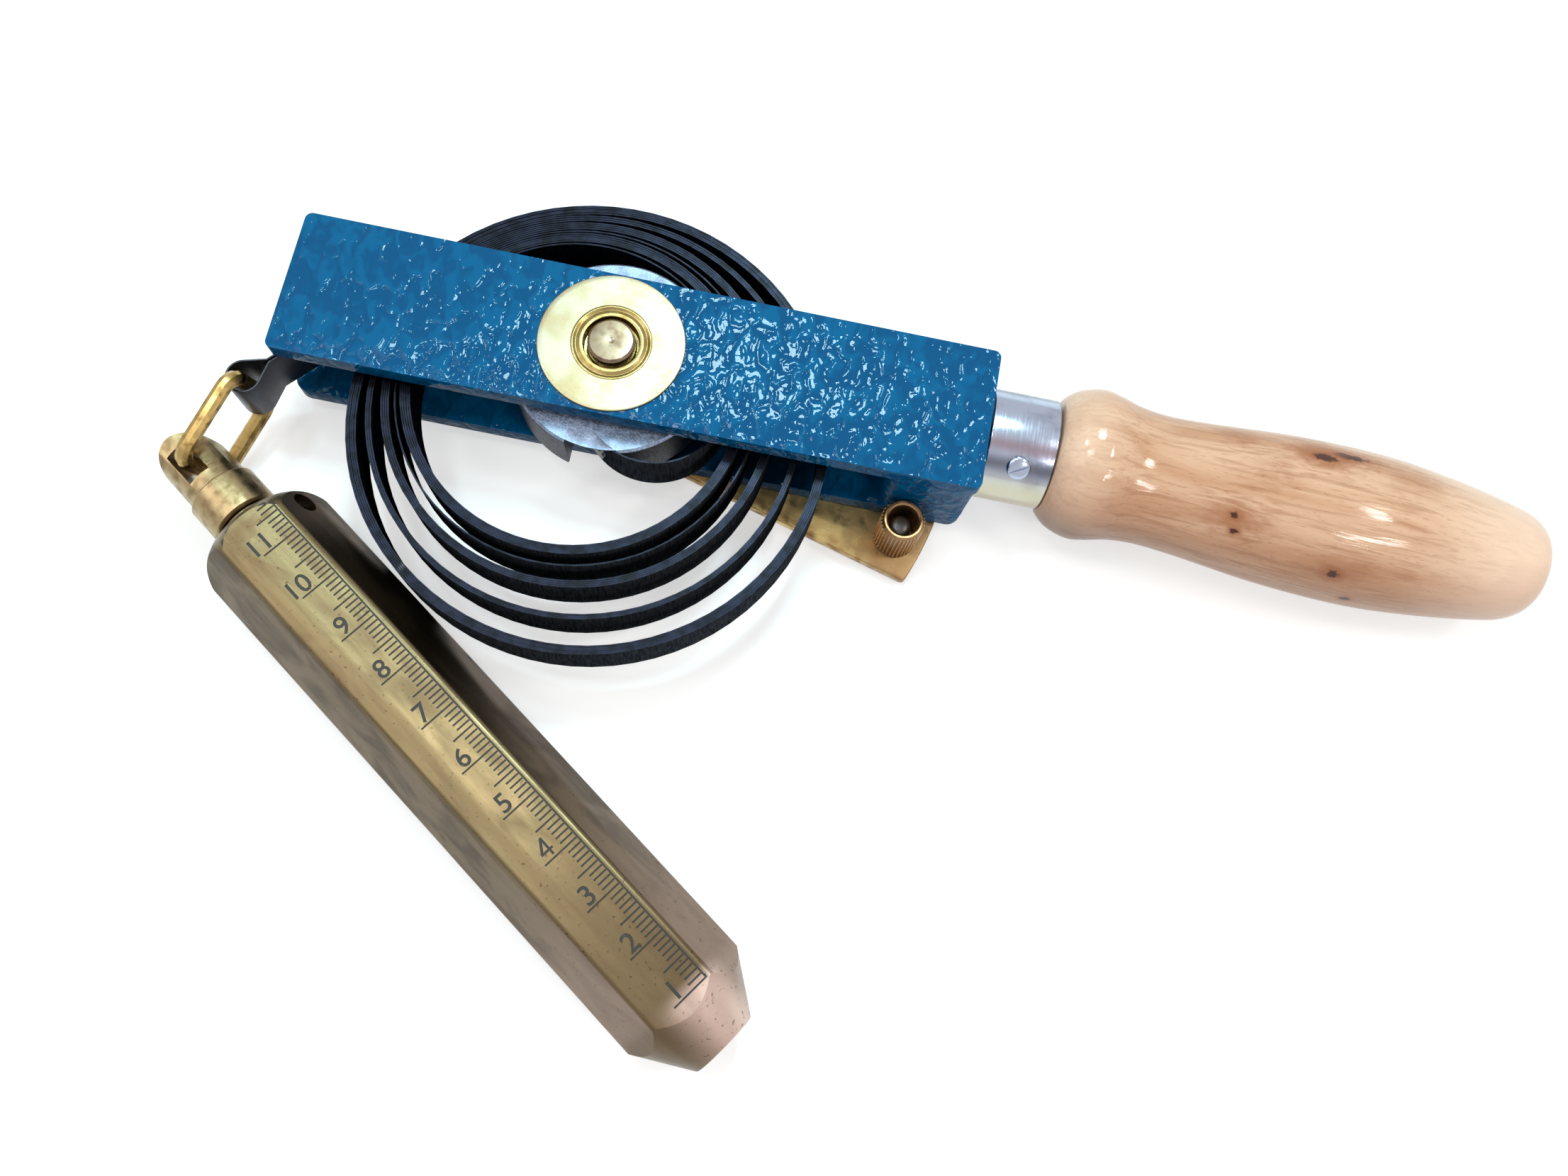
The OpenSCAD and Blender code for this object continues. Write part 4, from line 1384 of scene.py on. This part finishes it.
def varnishedWood():
    look = handleLook
    material, here = newMaterial(
        "varnishedWood", (ferruleHigh.x, 0, axisZ), radians(look.lean),
        Roughness=0.5, Specular_IOR_Level=0.1, Coat_Weight=0.5, Coat_Roughness=0.07,
    )
    figure = noise(stretch(here, (0.02, 0.11, 0.11)), 1, 4, 1.2)
    grain = noise(stretch(here, (0.05, 1.1, 1.1)), 1, 5, 0.6)
    pores = noise(stretch(here, (0.42, 4.5, 4.5)), 1, 2)
    colour = blend(rise(figure, 0.36, 0.64), look.pale, look.mid)
    colour = blend(rise(grain, 0.48, 0.68, (0, 0.45)), colour, look.grain)
    colour = blend(rise(pores, 0.6, 0.7, (0, 0.5)), colour, look.grain)
    x, y, z = split(here)
    colour = blend(rise(x, 60, 86, (0, 0.7)), colour, look.endPale)
    colour = blend(rise(x, 3, 15, (0.4, 0)), colour, look.endPale)
    # painted shade: the side that lies low is drawn darker brown, most of all near the ferrule
    height = calc("MULTIPLY_ADD", y, 0.8, calc("MULTIPLY", z, 0.6))
    paintedShadeLow = rise(height, -14, -4, (0.8, 0))
    near = rise(x, 8, 34, (1, 0.35))
    colour = blend(calc("MULTIPLY", paintedShadeLow, near), colour, look.under)
    curls = noise(stretch(here, (0.3, 1, 1)), 0.5, 4, 1.6)
    for spot, radius, strength in look.stains:
        reach = spotDistance(here, spot, radius, radius * 0.6)
        far = calc("MULTIPLY_ADD", curls, 1.8, reach)
        colour = blend(rise(far, 1.0, 2.0, (strength, 0)), colour, look.halo)
    swirl = noise(here, 0.9, 4, 0.5)
    for spot, long, wide in look.knots:
        reach = spotDistance(here, spot, long, wide)
        far = calc("MULTIPLY_ADD", swirl, 1.6, reach)
        colour = blend(rise(far, 1.5, 3.8, (0.7, 0)), colour, look.halo)
        colour = blend(rise(far, 1.5, 2.0, (0.97, 0)), colour, look.knot)
    varnish = bump(calc("MULTIPLY_ADD", grain, 0.35, figure), 0.12)
    return connect(material, Base_Color=colour, Normal=varnish, Coat_Normal=varnish)


def makeHandle():
    look = handleLook
    line = [(radius, at) for at, radius in look.stations]
    wood = lathe([(0, 0.5)] + smoothLine(line), steps=144)
    spot = shift((ferruleHigh.x, 0, axisZ))
    place(wood, spot @ roll(look.lean, "Z") @ roll(90, "Y"))
    varnish = [varnishedWood()]
    finishPiece("woodHandle", wood, varnish, "root", "wood_handle", 60)


makeHandle()


hiddenSteel = darkSteel("hiddenSteel", tone(96, 96, 98), tone(140, 140, 142))
dressNodes(("drum_grub_screw", "tape_anchor_screw", "handle_tang"), hiddenSteel)
print("all pieces made")


lightLook = Look(
    world=0.45,
    floor=(0.6, 0.6, 0.595, 1),
    floorGlow=0.52,
    floorDrop=0.0002,  # metres, so that the floor and the object's foot don't share a plane
    glare=(0.64, 0.96, 1),
)
lamps = (
    # name, place in millimetres, aims at, size in millimetres, watts
    ("glare", (34, 245, 560), (22, 0, 25), (124, 110), 2.5),
    ("key", (-120, -30, 567), (0, -20, 0), (90, 90), 0.38),
    ("spark", (-205, 130, 567), (-50, -5, 25), (56, 56), 0.5),
    ("fill", (-420, -120, 520), (0, -20, 0), (420, 420), 1.1),
    ("highPane", (342, 18, 481), (135, 0, 27), (120, 36), 0.5),
    ("lowPane", (342, -267, 402), (135, 0, 27), (130, 42), 0.62),
)


def seenRays(tree):
    # 1 for what the camera sees, straight or in metal and glass
    path = tree.nodes.new("ShaderNodeLightPath").outputs
    seen = calc("MAXIMUM", path["Is Camera Ray"], path["Is Glossy Ray"])
    return calc("MAXIMUM", seen, path["Is Transmission Ray"])


def makeWorld():
    world = bpy.data.worlds.new("world")
    world.use_nodes = True
    tree = world.node_tree
    sky = tree.nodes["Background"].inputs
    sky["Color"].default_value = (1, 1, 1, 1)
    level = lightLook.world
    strength = calc("MULTIPLY_ADD", seenRays(tree), 1 - level, level)
    tree.links.new(strength, sky["Strength"])
    scene.world = world


def makeFloor():
    material, _ = newMaterial(
        "paleFloor", Base_Color=lightLook.floor, Roughness=0.9, Specular_IOR_Level=0,
        Emission_Color=(1, 1, 1, 1),
    )
    glow = calc("MULTIPLY", seenRays(material.node_tree), lightLook.floorGlow)
    connect(material, Emission_Strength=glow)
    bm = bmesh.new()
    bmesh.ops.create_grid(bm, x_segments=1, y_segments=1, size=3)
    floor = addObject("floor", meshOf(bm, "floor", [material]))
    floor.location.z = -lightLook.floorDrop


def makeLamps():
    for name, spot, aim, size, watts in lamps:
        data = bpy.data.lights.new(name, "AREA")
        data.shape = "RECTANGLE"
        data.size = size[0] * mm
        data.size_y = size[1] * mm
        data.energy = watts
        data.color = lightLook.glare if name in ("glare", "spark") else (1, 1, 1)
        lamp = addObject(name, data)
        lamp.location = Vector(spot) * mm
        lamp.rotation_euler = (Vector(aim) - Vector(spot)).to_track_quat("-Z", "Y").to_euler()


makeWorld()
makeFloor()
makeLamps()
scene.view_settings.view_transform = "Standard"
print("light and floor set")
